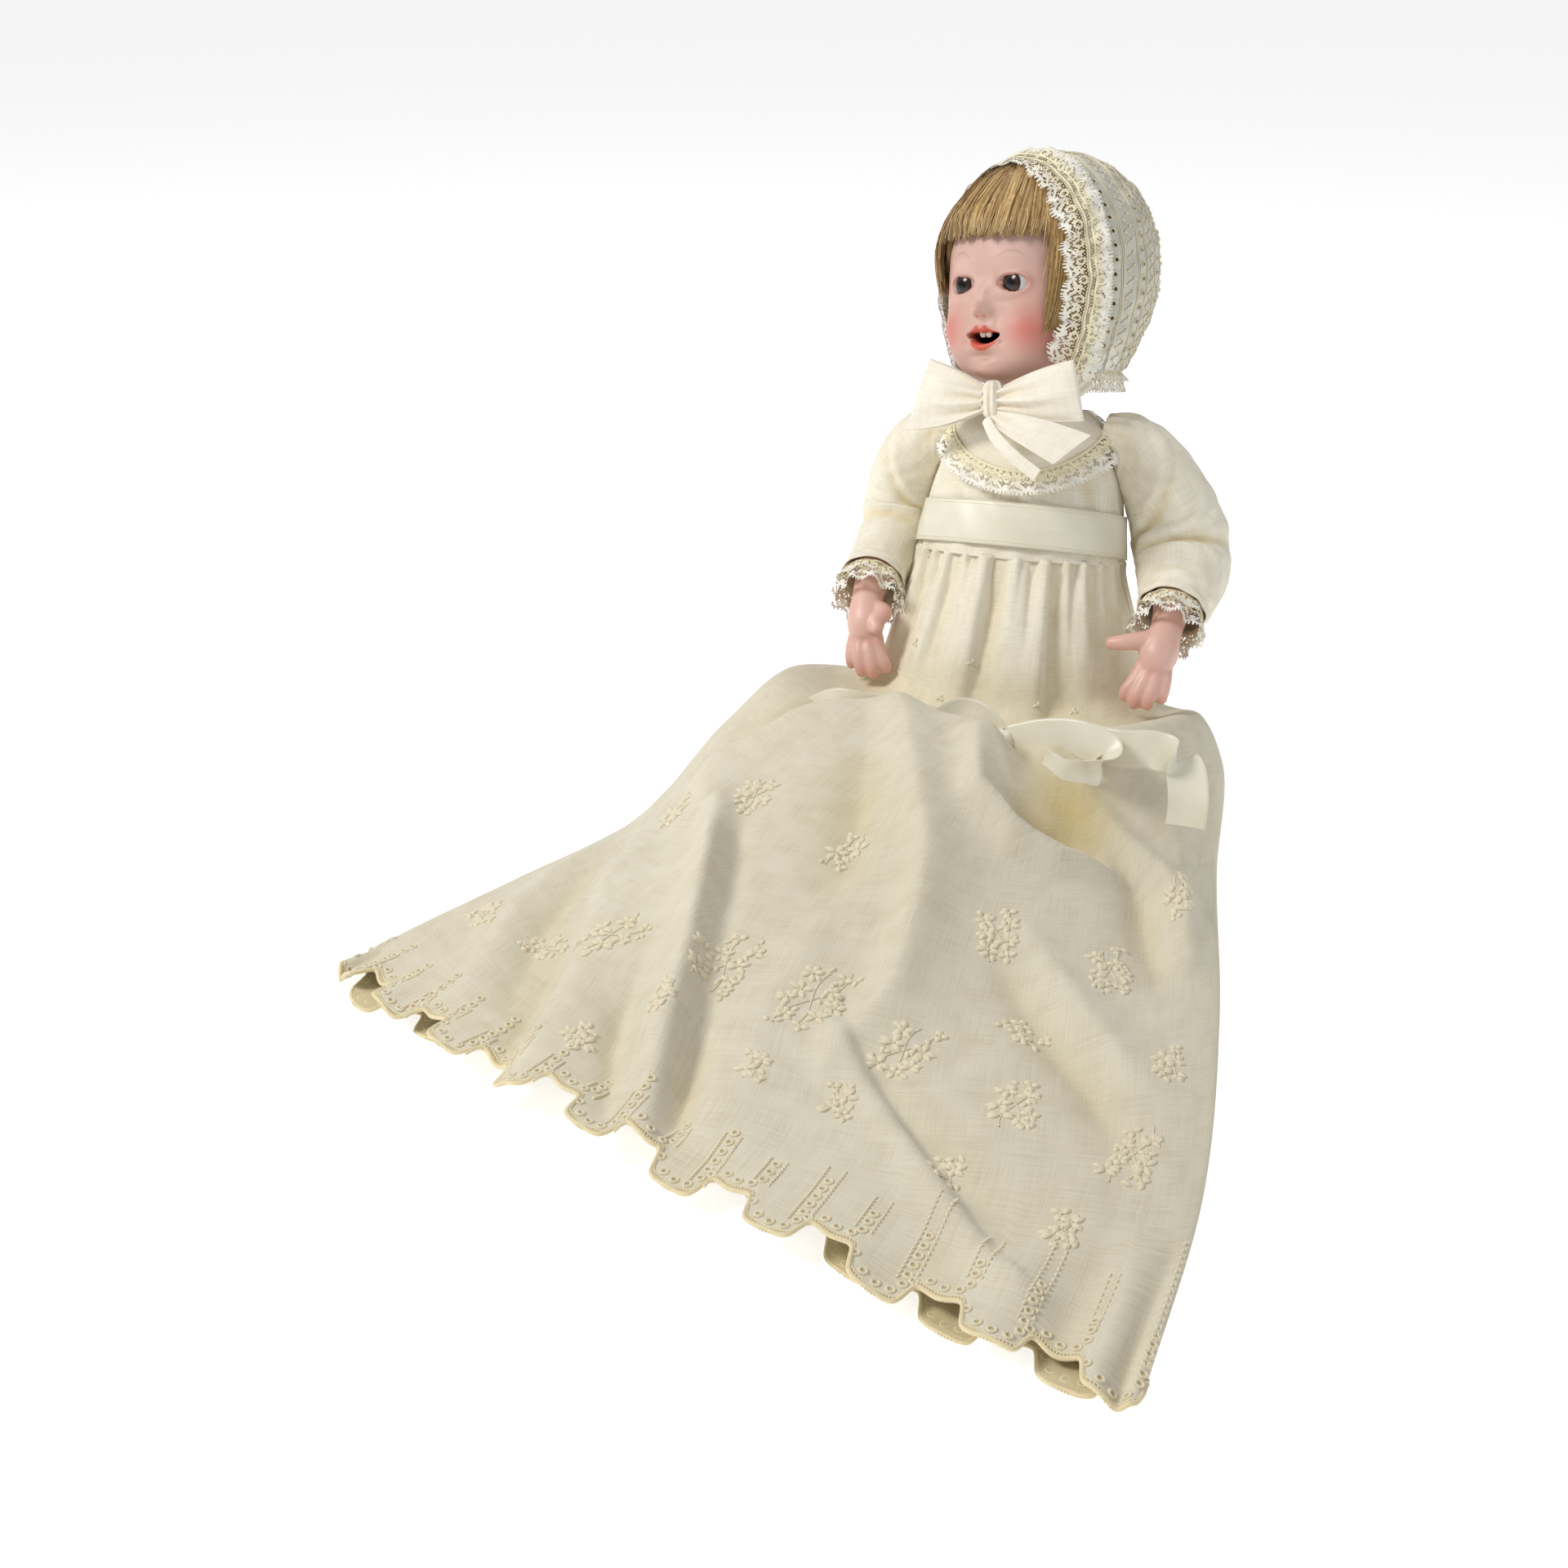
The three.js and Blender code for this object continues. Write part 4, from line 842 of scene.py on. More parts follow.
def spray(x, y, size, lean, flowers, seed):
    """A stem with leaves, small blossoms and buds, worked in satin stitch."""
    draw = np.random.default_rng(seed)
    row0, column0 = column_row_at(x, y)
    r, c = int(row0), int(column0)
    per_row = np.linalg.norm(skirt_points[min(r + 1, SKIRT_ROWS - 1), c] - skirt_points[r, c])
    per_column = np.linalg.norm(skirt_points[r, (c + 1) % SKIRT_COLUMNS] - skirt_points[r, c])

    def spot(right, up):
        a = right * math.cos(lean) - up * math.sin(lean)
        b = right * math.sin(lean) + up * math.cos(lean)
        return row0 - b / per_row, column0 - a / per_column

    parts, places = [], []
    for bend in (-1, 1):
        t = np.linspace(-1, 1, 26)
        wander = bend * 0.16 * size * np.sin(2.2 * t) * (1 if bend > 0 else 0.6)
        rows, columns = spot(wander, t * size * (0.62 if bend > 0 else 0.5))
        stem, _ = skirt_field.at(rows, columns, 0.35)
        parts.append(tube(stem, 0.32, 5))
    for k in range(flowers):
        up = size * (-0.5 + 1.0 * k / max(flowers - 1, 1)) + draw.normal(0, 1)
        right = size * 0.26 * (-1) ** k * draw.uniform(0.5, 1.15) * (1 - 0.5 * abs(up) / size)
        petals = 5 if abs(up) < 0.42 * size else 3
        reach = draw.uniform(2.0, 2.8) * (1 if petals == 5 else 0.75)
        for p in range(petals):
            turn = TAU * p / petals + draw.uniform(0, 1)
            places.append((*spot(right + reach * math.cos(turn), up + reach * math.sin(turn)),
                           *spot(right, up), reach * 1.9, 3.0))
        places.append((*spot(right, up), *spot(right + 1, up), 1.3, 1.2))
    for k in range(flowers * 2):
        up = size * draw.uniform(-0.62, 0.6)
        right = draw.choice([-1, 1]) * draw.uniform(1.5, 0.3 * size)
        places.append((*spot(right, up),
                       *spot(right + draw.normal(0, 1), up + 1), draw.uniform(2.8, 4.6), 2.3))
    places = np.array(places)
    here, n = skirt_field.at(places[:, 0], places[:, 1], 0.28)
    there, _ = skirt_field.at(places[:, 2], places[:, 3], 0.28)
    parts.append(stitches(here, n, there - here + 1e-6, places[:, 4], places[:, 5], 0.85))
    return together(parts)


# Sprays on the upper layer: the place on the table below them, height in millimetres, lean.
SPRAYS = [
    (-96, -232, 24, -0.5), (-48, -240, 30, -0.12), (-13, -250, 32, -0.3), (25, -263, 26, -0.5),
    (39, -186, 24, 0.2), (80, -182, 26, 0.1), (67, -278, 24, -0.1), (108, -290, 28, -0.15),
    (-124, -228, 20, -1.1), (-158, -208, 18, -1.2), (-67, -150, 17, -0.1), (-25, -167, 16, -0.1),
    (98, -123, 20, 0.2), (-102, -149, 13, -0.5), (-60, -272, 13, -0.2), (14, -300, 13, 0.1),
    (55, -322, 13, 0.1), (96, -338, 14, 0.1), (112, -232, 18, 0.1), (60, -232, 16, 0.9),
    (-82, -292, 11, -0.3), (-20, -292, 13, 0),
]
# Small dots on the lap: how far round the skirt and how far down it, both 0 to 1.
DOTS = [(0.36, 0.20), (0.27, 0.205), (0.385, 0.265), (0.3, 0.285), (0.185, 0.28), (0.14, 0.3),
        (0.23, 0.335), (0.335, 0.35)]


def embroidery():
    parts = [hem_trim()]
    for seed, (x, y, size, lean) in enumerate(SPRAYS):
        parts.append(spray(x, y, size, lean, max(4, int(size / 3.4)), seed))
    for u, v in DOTS:
        row, column = v ** (1 / ROW_CROWDING) * SKIRT_ROWS, u * SKIRT_COLUMNS
        turn = np.linspace(0, TAU, 3, endpoint=False) + 0.4
        here, n = skirt_field.at(row + 1.1 * np.sin(turn), column + 1.8 * np.cos(turn), 0.3)
        there, _ = skirt_field.at(np.full(3, row), np.full(3, column), 0.3)
        parts.append(stitches(here, n, there - here, 2.6, 1.7, 0.7))
    piece("skirt_embroidery", together(parts), ROW, THREAD, "body")


# ---------------------------------------------------------------- porcelain head
HEAD_RINGS = np.array([
    [-12.5, 0, 0, 0], [-10.5, 8, 8, 0], [-4, 13, 13, 0], [2, 13.6, 13.6, 0], [7, 17, 18, -3],
    [12, 23, 26.5, -8], [22, 31, 36, -5], [36, 36, 40, -1], [52, 37.5, 42, 1], [68, 36.5, 42.5, 3],
    [82, 31, 37, 4], [93, 21, 25, 5], [100, 0, 0, 5],
], float)  # height, half width, half depth, centre y
EYE = np.array([12.5, -31.5, 49.5])
EYE_RADIUS = 7.5
MOUTH_Z = 27.0


head_profile = profile(HEAD_RINGS)

# Face relief: height, centre x and z, reach in x and z. Paired features are given once, on the left.
FACE_MIDDLE = [
    (1.3, 0, 64, 22, 11), (-1.7, 0, 53, 5, 4.5), (1.6, 0, 45, 2.6, 4.5), (5.8, 0, 38.9, 3.2, 3.0),
    (-0.9, 0, 34.6, 2.2, 1.3), (0.9, 0, 32.2, 7.5, 3.2), (1.3, 0, 31.0, 5.6, 1.3), (-0.5, 0, 33.0, 0.9, 1.2),
    (1.7, 0, 23.2, 4.6, 1.6), (-1.7, 0, 19.6, 6, 1.6), (4.4, 0, 12.4, 8.5, 4.6), (-1.0, 0, 6.5, 14, 1.6),
]
FACE_PAIRS = [
    (1.5, 3.5, 37.6, 1.7, 1.8), (-0.9, 1.7, 36.2, 0.8, 0.6), (0.7, 12, 60, 8, 2.6), (-1.3, 7.0, 51, 2.6, 4.0),
    (3.0, 19, 31, 9, 8.5), (-0.9, 8.6, 25.3, 1.7, 1.8), (1.8, 16, 18, 7, 6), (-0.7, 12.5, 42.2, 6, 1.6),
    (0.6, 1.9, 30.6, 1.0, 0.8), (-0.5, 7.2, 34, 1.4, 3.2),
]


def almond(x, z, side):
    """Below 1 inside the eye opening."""
    along, up = (x - side * EYE[0]) / 5.9, z - EYE[2] + 0.15 + 0.05 * side * (x - side * EYE[0])
    return np.abs(along) ** 2.1 + np.abs(up / np.where(up > 0, 3.5, 3.3)) ** 2


def mouth_shape(x, z):
    """Below 1 inside the mouth opening."""
    up = z - MOUTH_Z - 0.02 * x**2
    return np.abs(x / 8.0) ** 1.8 + np.abs(up / np.where(up > 0, 2.5 - 0.5 * bell(x, 0, 1.4), 2.5)) ** 2


def make_head():
    t = np.linspace(-1, 1, 331)[:-1]
    turn, z = np.meshgrid(np.pi * (0.5 * t + 0.5 * t**3), np.linspace(-11, 83.5, 250))
    wide, deep, middle = head_profile(z)
    x, y = wide * np.sin(turn), middle - deep * np.cos(turn)
    out = np.stack([np.sin(turn) / wide, -np.cos(turn) / deep, 0 * z], axis=-1)
    out = unit(out)
    front = step(0.0, 0.45, np.cos(turn))
    lift = sum(h * bell(x, cx, rx) * bell(z, cz, rz) for h, cx, cz, rx, rz in FACE_MIDDLE)
    for side in (-1, 1):
        lift = lift + sum(h * bell(x, side * cx, rx) * bell(z, cz, rz) for h, cx, cz, rx, rz in FACE_PAIRS)
    points = np.stack([x, y, z], axis=-1) + out * (lift * front)[..., None]
    # two small ears under the wig
    for side in (-1, 1):
        ear = bell(np.abs(np.abs(turn) - 1.62), 0, 0.16) * bell(z, 44, 9) * (np.sign(turn) == side)
        points[..., 0] += side * 4.0 * ear * (0.6 + 0.4 * np.cos((z - 44) / 2.6))
    inside = np.ones(z.shape)
    for side in (-1, 1):
        centre = EYE * [side, 1, 1]
        q = np.where(front > 0.5, almond(x, z, side), 9)
        reach = points - centre
        size = np.linalg.norm(reach, axis=-1)
        lid = np.logaddexp(size * 2.2, (EYE_RADIUS + 1.0) * 2.2) / 2.2
        size = np.where(q < 4, size + (lid - size) * step(4, 1.6, q), size)
        size = size + (EYE_RADIUS + 0.12 - size) * step(1.22, 0.96, q)
        near = q < 4
        points[near] = (centre + unit(reach, 1e-6) * size[..., None])[near]
        inside = np.minimum(inside, q)
    q = np.where(front > 0.5, mouth_shape(x, z), 9)
    points[..., 1] += 6.5 * step(1.15, 0.75, q) ** 1.3
    inside = np.minimum(inside, q + 0.32)
    keep = inside > 0.9
    quads = grid_quads(*z.shape, True)
    held = keep.ravel()[quads].all(axis=-1)
    sheet = Sheet(points, quads[held], face_paint(points[..., 0], z, q, turn)).tidy().eased(2)
    piece("porcelain_head_detailed", sheet.thick(1.9, 0),
          HEAD, BISQUE, "head", ["porcelain_head"])


def face_paint(x, z, mouth, turn):
    paint = np.ones((*x.shape, 3)) * srgb(214, 178, 165)
    front = step(0.1, 0.5, np.cos(turn))

    def brush(amount, colour):
        nonlocal paint
        paint = blended(paint, np.clip(amount * front, 0, 1)[..., None], colour)

    away = np.abs(x)
    # the forehead painted a touch darker: painted shade cast by the fringe
    brush(0.30 * bell(z, 60, 16) * bell(x, 0, 26), srgb(212, 178, 164))
    brush(0.85 * bell(away, 21.5, 10) * bell(z, 30, 9.5), srgb(207, 112, 98))
    brush(0.3 * bell(away, 19, 7) * bell(z, 48, 6), srgb(214, 138, 122))
    brush(0.22 * bell(x, 0, 3.4) * bell(z, 38, 3), srgb(214, 140, 126))
    brush(0.22 * bell(x, 0, 9) * bell(z, 12, 4), srgb(216, 140, 124))
    for side in (-1, 1):
        q = almond(x, z, side)
        brush(0.42 * bell(q, 1.25, 0.32) * step(EYE[2] - 2, EYE[2] + 1, z), srgb(150, 84, 70))
        brush(0.3 * bell(q, 1.1, 0.22), srgb(184, 112, 98))
        brush(0.8 * bell(x, side * 6.4, 0.7) * bell(z, 49.0, 0.7), srgb(196, 70, 54))
        brush(0.35 * bell(x, side * 18.6, 1.6) * bell(z, 50.2, 1.3), srgb(190, 92, 78))
        brush(0.7 * bell(x, side * 1.8, 0.75) * bell(z, 36.0, 0.6), srgb(190, 84, 66))
        along = (side * x - 6.5) / 12
        arch = 59.6 + 3.0 * np.sin(np.pi * np.clip(along, 0, 1)) ** 0.8
        hairs = 0.6 + 0.4 * np.sin(side * x * 7 + z * 3)
        brush(0.5 * hairs * bell(z, arch, 0.5) * step(-0.04, 0.1, along) * step(1.04, 0.8, along),
              srgb(150, 108, 86))
    bow = 31.6 - 0.045 * x**2 + 0.8 * bell(away, 2.3, 1.5) - 0.7 * bell(x, 0, 0.9)
    upper = step(bow + 0.35, bow - 0.35, z) * step(MOUTH_Z - 0.5, MOUTH_Z + 0.6, z) * step(8.4, 7.6, away)
    brush(0.92 * upper, srgb(204, 82, 56))
    under = 21.7 + 0.075 * x**2
    lower = step(under - 0.4, under + 0.4, z) * step(MOUTH_Z + 0.6, MOUTH_Z - 0.4, z) * step(7.0, 6.0, away)
    brush(0.92 * lower, srgb(212, 86, 58))
    # the recessed walls of the open mouth painted dark red, near black: painted shade inside the mouth
    brush(0.98 * step(0.93, 0.8, mouth), srgb(58, 16, 12))
    return paint


def make_eyes():
    polar, around = np.meshgrid(np.radians(np.linspace(0.5, 179, 90)),
                                np.linspace(0, TAU, 97)[:-1], indexing="ij")
    look = np.stack([np.sin(polar) * np.cos(around), -np.cos(polar), np.sin(polar) * np.sin(around)], axis=-1)
    gaze = unit(np.array([-0.03, -1, -0.02]))
    angle = np.degrees(np.arccos(np.clip(look @ gaze, -1, 1)))[..., None]
    spoke = np.sin(around * 34)[..., None] * 0.5 + 0.5
    iris = np.array(srgb(60, 34, 24)) * (0.7 + 0.45 * spoke) * (1.15 - 0.5 * step(24, 35, angle))
    colour = np.array(srgb(206, 206, 204)) * np.ones(look.shape)
    colour = colour + (iris - colour) * step(36, 34, angle)
    colour = colour + (np.array(srgb(34, 22, 18)) - colour) * bell(angle, 34, 2.2) * 0.8
    colour = colour + (np.array(srgb(12, 9, 9)) - colour) * step(17.5, 16, angle)
    rise = np.degrees(np.arctan2(look[..., 2], -look[..., 1]))[..., None]
    lid = step(36, 37, rise) * step(175, 170, np.abs(rise))
    colour = colour + (np.array(srgb(214, 168, 152)) - colour) * lid
    colour = colour + (np.array(srgb(96, 56, 40)) - colour) * bell(rise, 36, 1.0) * 0.8
    for name, side in (("left", 1), ("right", -1)):
        ball = Sheet(look * EYE_RADIUS + EYE * [side, 1, 1], grid_quads(*polar.shape, True), colour)
        piece(f"glass_eye_{name}", ball, HEAD, EYE_GLASS, "eyes", [f"eye_{name}"])


TEETH_Y = -38.4


def make_teeth():
    parts = []
    polar, around = np.meshgrid(np.linspace(0.02, np.pi - 0.02, 24),
                                np.linspace(0, TAU, 25)[:-1], indexing="ij")
    c, s = np.cos(around), np.sin(around)
    square = 1 / (np.abs(c) ** 4 + np.abs(s) ** 4) ** 0.25
    for x in (-1.5, 1.5):
        tooth = np.stack([1.4 * np.sin(polar) ** 0.6 * c * square,
                          1.0 * np.sin(polar) * s, 1.8 * np.cos(polar)], axis=-1)
        parts.append(Sheet(tooth + [x, TEETH_Y, MOUTH_Z + 2.1], grid_quads(*polar.shape, True)))
    piece("two_upper_teeth", together(parts), HEAD, ENAMEL, "head", ["upper_teeth"])


# ---------------------------------------------------------------- mohair wig
def hair_place(turn, v, stand):
    """A place over the scalp: turn from the front towards the doll's left, v up the head."""
    size = smooth(HEAD_RINGS[:, [1, 2, 0]], v)
    middle = smooth(np.column_stack([0 * HEAD_RINGS[:, 0], HEAD_RINGS[:, 3], HEAD_RINGS[:, 0]]), v)[..., 1]
    up = stand * step(0.86, 1.0, v)
    return np.stack([(size[..., 0] + stand) * np.sin(turn), middle - (size[..., 1] + stand) * np.cos(turn),
                     size[..., 2] + up], axis=-1)


def head_v(z):
    fine = np.linspace(0, 1, 1200)
    return np.interp(z, smooth(HEAD_RINGS[:, [1, 2, 0]], fine)[:, 2], fine)


FRINGE_Z, LOCK_LEFT_Z, LOCK_RIGHT_Z = 70.0, 33.0, 50.0
HAIRS, HAIR_KNOTS, HAIR_CLUMPS = 9000, 10, 150


def make_wig():
    count, knots = HAIRS, HAIR_KNOTS
    clump = rng.uniform(-1.52, 1.52, HAIR_CLUMPS)
    # the skull cap that the mohair is sewn to
    turn, z = np.meshgrid(ROUND, np.linspace(0, 1, 120))
    lock = np.where(turn > 0, LOCK_LEFT_Z, LOCK_RIGHT_Z)
    side = np.abs(turn)
    low = FRINGE_Z + 1 + (lock + 3 - FRINGE_Z) * step(0.7, 0.84, side) + (16 - lock) * step(1.3, 1.6, side)
    v = head_v(low) + (0.995 - head_v(low)) * z
    groove = 0.35 * np.sin(turn * 70 + 2 * np.sin(turn * 9)) + 0.3 * np.sin(turn * 31 + z * 2)
    cap_points = hair_place(turn, v, 0.5 + 1.7 * step(0, 0.1, z) + groove * step(1, 0.8, z) * step(0, 0.1, z))
    shade = (0.5 + 0.5 * np.sin(turn * 90 + 3 * np.sin(turn * 13)))[..., None]
    dark, light = np.array(srgb(120, 88, 48)), np.array(srgb(186, 148, 90))
    cap = Sheet(cap_points, grid_quads(*turn.shape, True), dark + (light - dark) * shade)
    # the strands, from the crown down
    turn = rng.uniform(-1.5, 1.5, count)
    turn = np.where(rng.random(count) < 0.62, rng.uniform(-0.95, 0.95, count), turn)
    near = clump[np.argmin(np.abs(turn[:, None] - clump[None]), axis=1)]
    end = FRINGE_Z + rng.normal(0, 0.8, count) + 0.9 * np.sin(near * 40)
    side = np.abs(turn)
    lock = np.where(turn > 0, LOCK_LEFT_Z, LOCK_RIGHT_Z)
    drop = lock - FRINGE_Z + rng.normal(0, 2.2, count)
    end = end + drop * step(0.7, 0.76, side + rng.normal(0, 0.012, count))
    end = np.where(side > 1.3, end - 6 * step(1.3, 1.5, side), end)
    start = 0.999 - 0.05 * rng.random(count) ** 2
    short = rng.random(count) < 0.25
    start = np.where(short, start - rng.uniform(0, 0.12, count), start)
    t = np.linspace(0, 1, knots)[None]
    v = start[:, None] + (head_v(end)[:, None] - start[:, None]) * t
    pull = 0.55 * t**1.5
    sway = 0.022 * rng.normal(0, 1, (count, 1)) * np.sin(t * 3 + rng.uniform(0, 6, (count, 1)))
    bearing = turn[:, None] * (1 - pull) + near[:, None] * pull + sway
    bearing = bearing + 0.05 * np.sin(3 * t) * np.sign(turn)[:, None]
    stand = 2.6 + 2.2 * rng.random((count,
                                    1)) ** 0.8 + 0.9 * np.sin(np.pi * t) + 0.5 * np.sin(near * 60)[:, None]
    drop = step(66, 40, smooth(HEAD_RINGS[:, [1, 2, 0]], v)[..., 2])
    stand = stand - 1.2 * drop + 1.6 * bell(turn, -1.05, 0.4)[:, None] * (1 - drop)
    path = hair_place(bearing, v, stand)
    across = hair_place(bearing + 0.01, v, stand) - path
    across = unit(across) + rng.normal(0, 0.35, (count, 1, 1)) * unit(path - np.array([0, 3, 50]))
    width = (0.24 + 0.16 * rng.random((count, 1))) * (1 - 0.75 * t**3) * (0.6 + 0.4 * np.minimum(1, t * 6))
    points = np.stack([path - across * width[..., None], path + across * width[..., None]], axis=2)
    base = grid_quads(knots, 2).reshape(-1, 4)
    quads = base[None] + (np.arange(count) * knots * 2)[:, None, None]
    tone = rng.random((count, 1, 1))
    roots = (0.72 + 0.28 * step(0, 0.35, t))[..., None] * (1 - 0.18 * step(0.8, 1, t))[..., None]
    hue = np.array(srgb(150, 114, 64)) * (1 - tone) + np.array(srgb(224, 190, 130)) * tone
    tint = np.repeat((hue * roots)[:, :, None], 2, axis=2)
    strands = Sheet(points.reshape(-1, 3), quads.reshape(-1, 4), tint.reshape(-1, 3))
    piece("mohair_strands", together([cap, strands]), HEAD, MOHAIR, "head", ["mohair_wig"])


# ---------------------------------------------------------------- lace
def lace_weave(s, t, width, repeat=11.0):
    """Where cotton lace has thread. s runs along it, t from the sewn edge to the scalloped one."""
    phase = TAU * s / repeat
    net = (np.abs(np.sin(np.pi * (s + t) / 1.9)) < 0.42) | (np.abs(np.sin(np.pi * (s - t) / 1.9)) < 0.42)
    head = t < 0.9
    edge = width - 2.4 + 0.9 * np.abs(np.sin(phase))
    cx = (s / repeat - np.floor(s / repeat) - 0.5) * repeat
    cy = t - 0.42 * width
    r, a = np.hypot(cx, cy), np.arctan2(cy, cx)
    flower = (r < (0.24 * width) * (0.72 + 0.28 * np.cos(5 * a))) & (r > 0.55)
    c2 = ((s / repeat + 0.5) - np.floor(s / repeat + 0.5) - 0.5) * repeat
    leaf = (np.abs(np.hypot(c2, t - 0.3 * width) - 1.9) < 0.5) | (np.hypot(c2, t - 0.66 * width) < 0.9)
    vine = np.abs(t - (0.64 * width + 0.14 * width * np.cos(phase))) < 0.5
    rim = np.abs(t - (edge - 0.55)) < 0.55
    picot = (t > edge) & (t < edge + 1.9) & (np.abs(np.mod(s, 1.45) - 0.72) < 0.36)
    return ((net | head | flower | leaf | vine | rim) & (t < edge)) | picot


def lace(place, length, width, cell, tint):
    """A strip of lace laid by place(s, t), with the ground between its threads left out."""
    rows, columns = int(width / cell) + 1, int(length / cell) + 1
    s, t = np.meshgrid(np.arange(columns) * cell, np.arange(rows) * cell)
    points = place(s, t)
    quads = grid_quads(rows, columns)
    middle_s, middle_t = s[:-1, :-1] + cell / 2, t[:-1, :-1] + cell / 2
    kept = lace_weave(middle_s, middle_t, width)
    return Sheet(points, quads[kept], tint(s, t), np.stack([s, t], axis=-1)).tidy().eased(2, 0.45)


def sewn_edge_shade(s, t):
    """Lace painted yellower and darker at its sewn edge, as shade where it meets the cloth, and whiter at its
    rim.
    """
    near = step(0.75, 0.15, t / t.max())[..., None]
    return 1 - near * np.array([0.05, 0.1, 0.3])


# ---------------------------------------------------------------- bonnet
BONNET_RINGS = np.array([
    [-2, 0, 0, 1], [0, 28, 27, 1], [12, 35, 34, 1],
    [26, 41.5, 42.5, 3], [44, 46.5, 49.5, 5.5], [60, 47, 51, 7],
    [76, 43.5, 48, 8], [90, 35, 40, 9], [100, 24, 28, 10], [106, 10, 12, 10], [107.5, 0, 0, 10],
], float)
BONNET_HEART = np.array([0, 8, 48.0])
BONNET_RIM_Y, BONNET_HEM_Z = -15.0, 12.5
BONNET_SLANT = 0.17  # the rim comes further forward on the doll's left


def bonnet_field():
    bonnet = profile(BONNET_RINGS)
    polar, around = np.meshgrid(np.radians(np.linspace(2, 141, 250)),
                                np.radians(np.linspace(-58, 238, 500)), indexing="ij")
    ray = np.stack([np.sin(polar) * np.cos(around), np.cos(polar), np.sin(polar) * np.sin(around)], axis=-1)
    near, far = np.full(polar.shape, 5.0), np.full(polar.shape, 90.0)
    for _ in range(26):
        reach = (near + far) / 2
        point = BONNET_HEART + ray * reach[..., None]
        wide, deep, middle = bonnet(np.clip(point[..., 2], -2, 107.5))
        wide, deep = np.maximum(wide, 1e-3), np.maximum(deep, 1e-3)
        outside = (point[..., 0] / wide) ** 2 + ((point[..., 1] - middle) / deep) ** 2 > 1
        outside |= (point[..., 2] > 107.5) | (point[..., 2] < -2)
        near, far = np.where(outside, near, reach), np.where(outside, reach, far)
    reach = reach + 0.6
    reach += 0.5 * np.sin(around * 46) * bell(BONNET_HEART[2] + ray[..., 2] * reach, 13, 9)
    reach += 0.35 * np.sin(around * 11 + 1) * np.sin(polar * 9) + 0.25 * np.sin(around * 23 + polar * 14)
    return Field(BONNET_HEART + ray * reach[..., None])


bonnet_grid = bonnet_field()
BONNET_COLUMNS = bonnet_grid.grid.shape[1]


def on_bonnet(y, column, lift=0.0):
    """The point of the bonnet in the plane at this y, on this column of its grid."""
    y, column = np.broadcast_arrays(np.asarray(y, float), np.asarray(column, float))
    i = np.clip(np.rint(column), 0, BONNET_COLUMNS - 1).astype(int)
    rows = np.empty(y.shape)
    index = np.arange(bonnet_grid.grid.shape[0])
    for k in np.unique(i):
        here = i == k
        along = bonnet_grid.grid[:, k, 1] + BONNET_SLANT * bonnet_grid.grid[:, k, 0]
        rows[here] = np.interp(-y[here], -along, index)
    return bonnet_grid.at(rows, column, np.asarray(lift) * np.ones(y.shape))


def rim_line(y, low_z):
    """Columns and lengths along the bonnet in the plane at this y, above a height."""
    columns = np.arange(BONNET_COLUMNS)
    points, _ = on_bonnet(np.full(BONNET_COLUMNS, y), columns)
    above = points[:, 2] > low_z
    columns, points = columns[above], points[above]
    return columns, run_along(points)


# Trims of the bonnet, by their distance behind its rim's plane, and for zigzags their swing and pitch.
EYELET_LINES = (-2.0, 16.0, 31.0)
CORD_LINES = (-6.0, -5.0, 1.6, 2.6, 12.2, 13.2, 18.8, 19.8, 27.4, 34.6)
ZIGZAGS = ((7.2, 2.7, 5.4), (23.6, 2.5, 5.0))


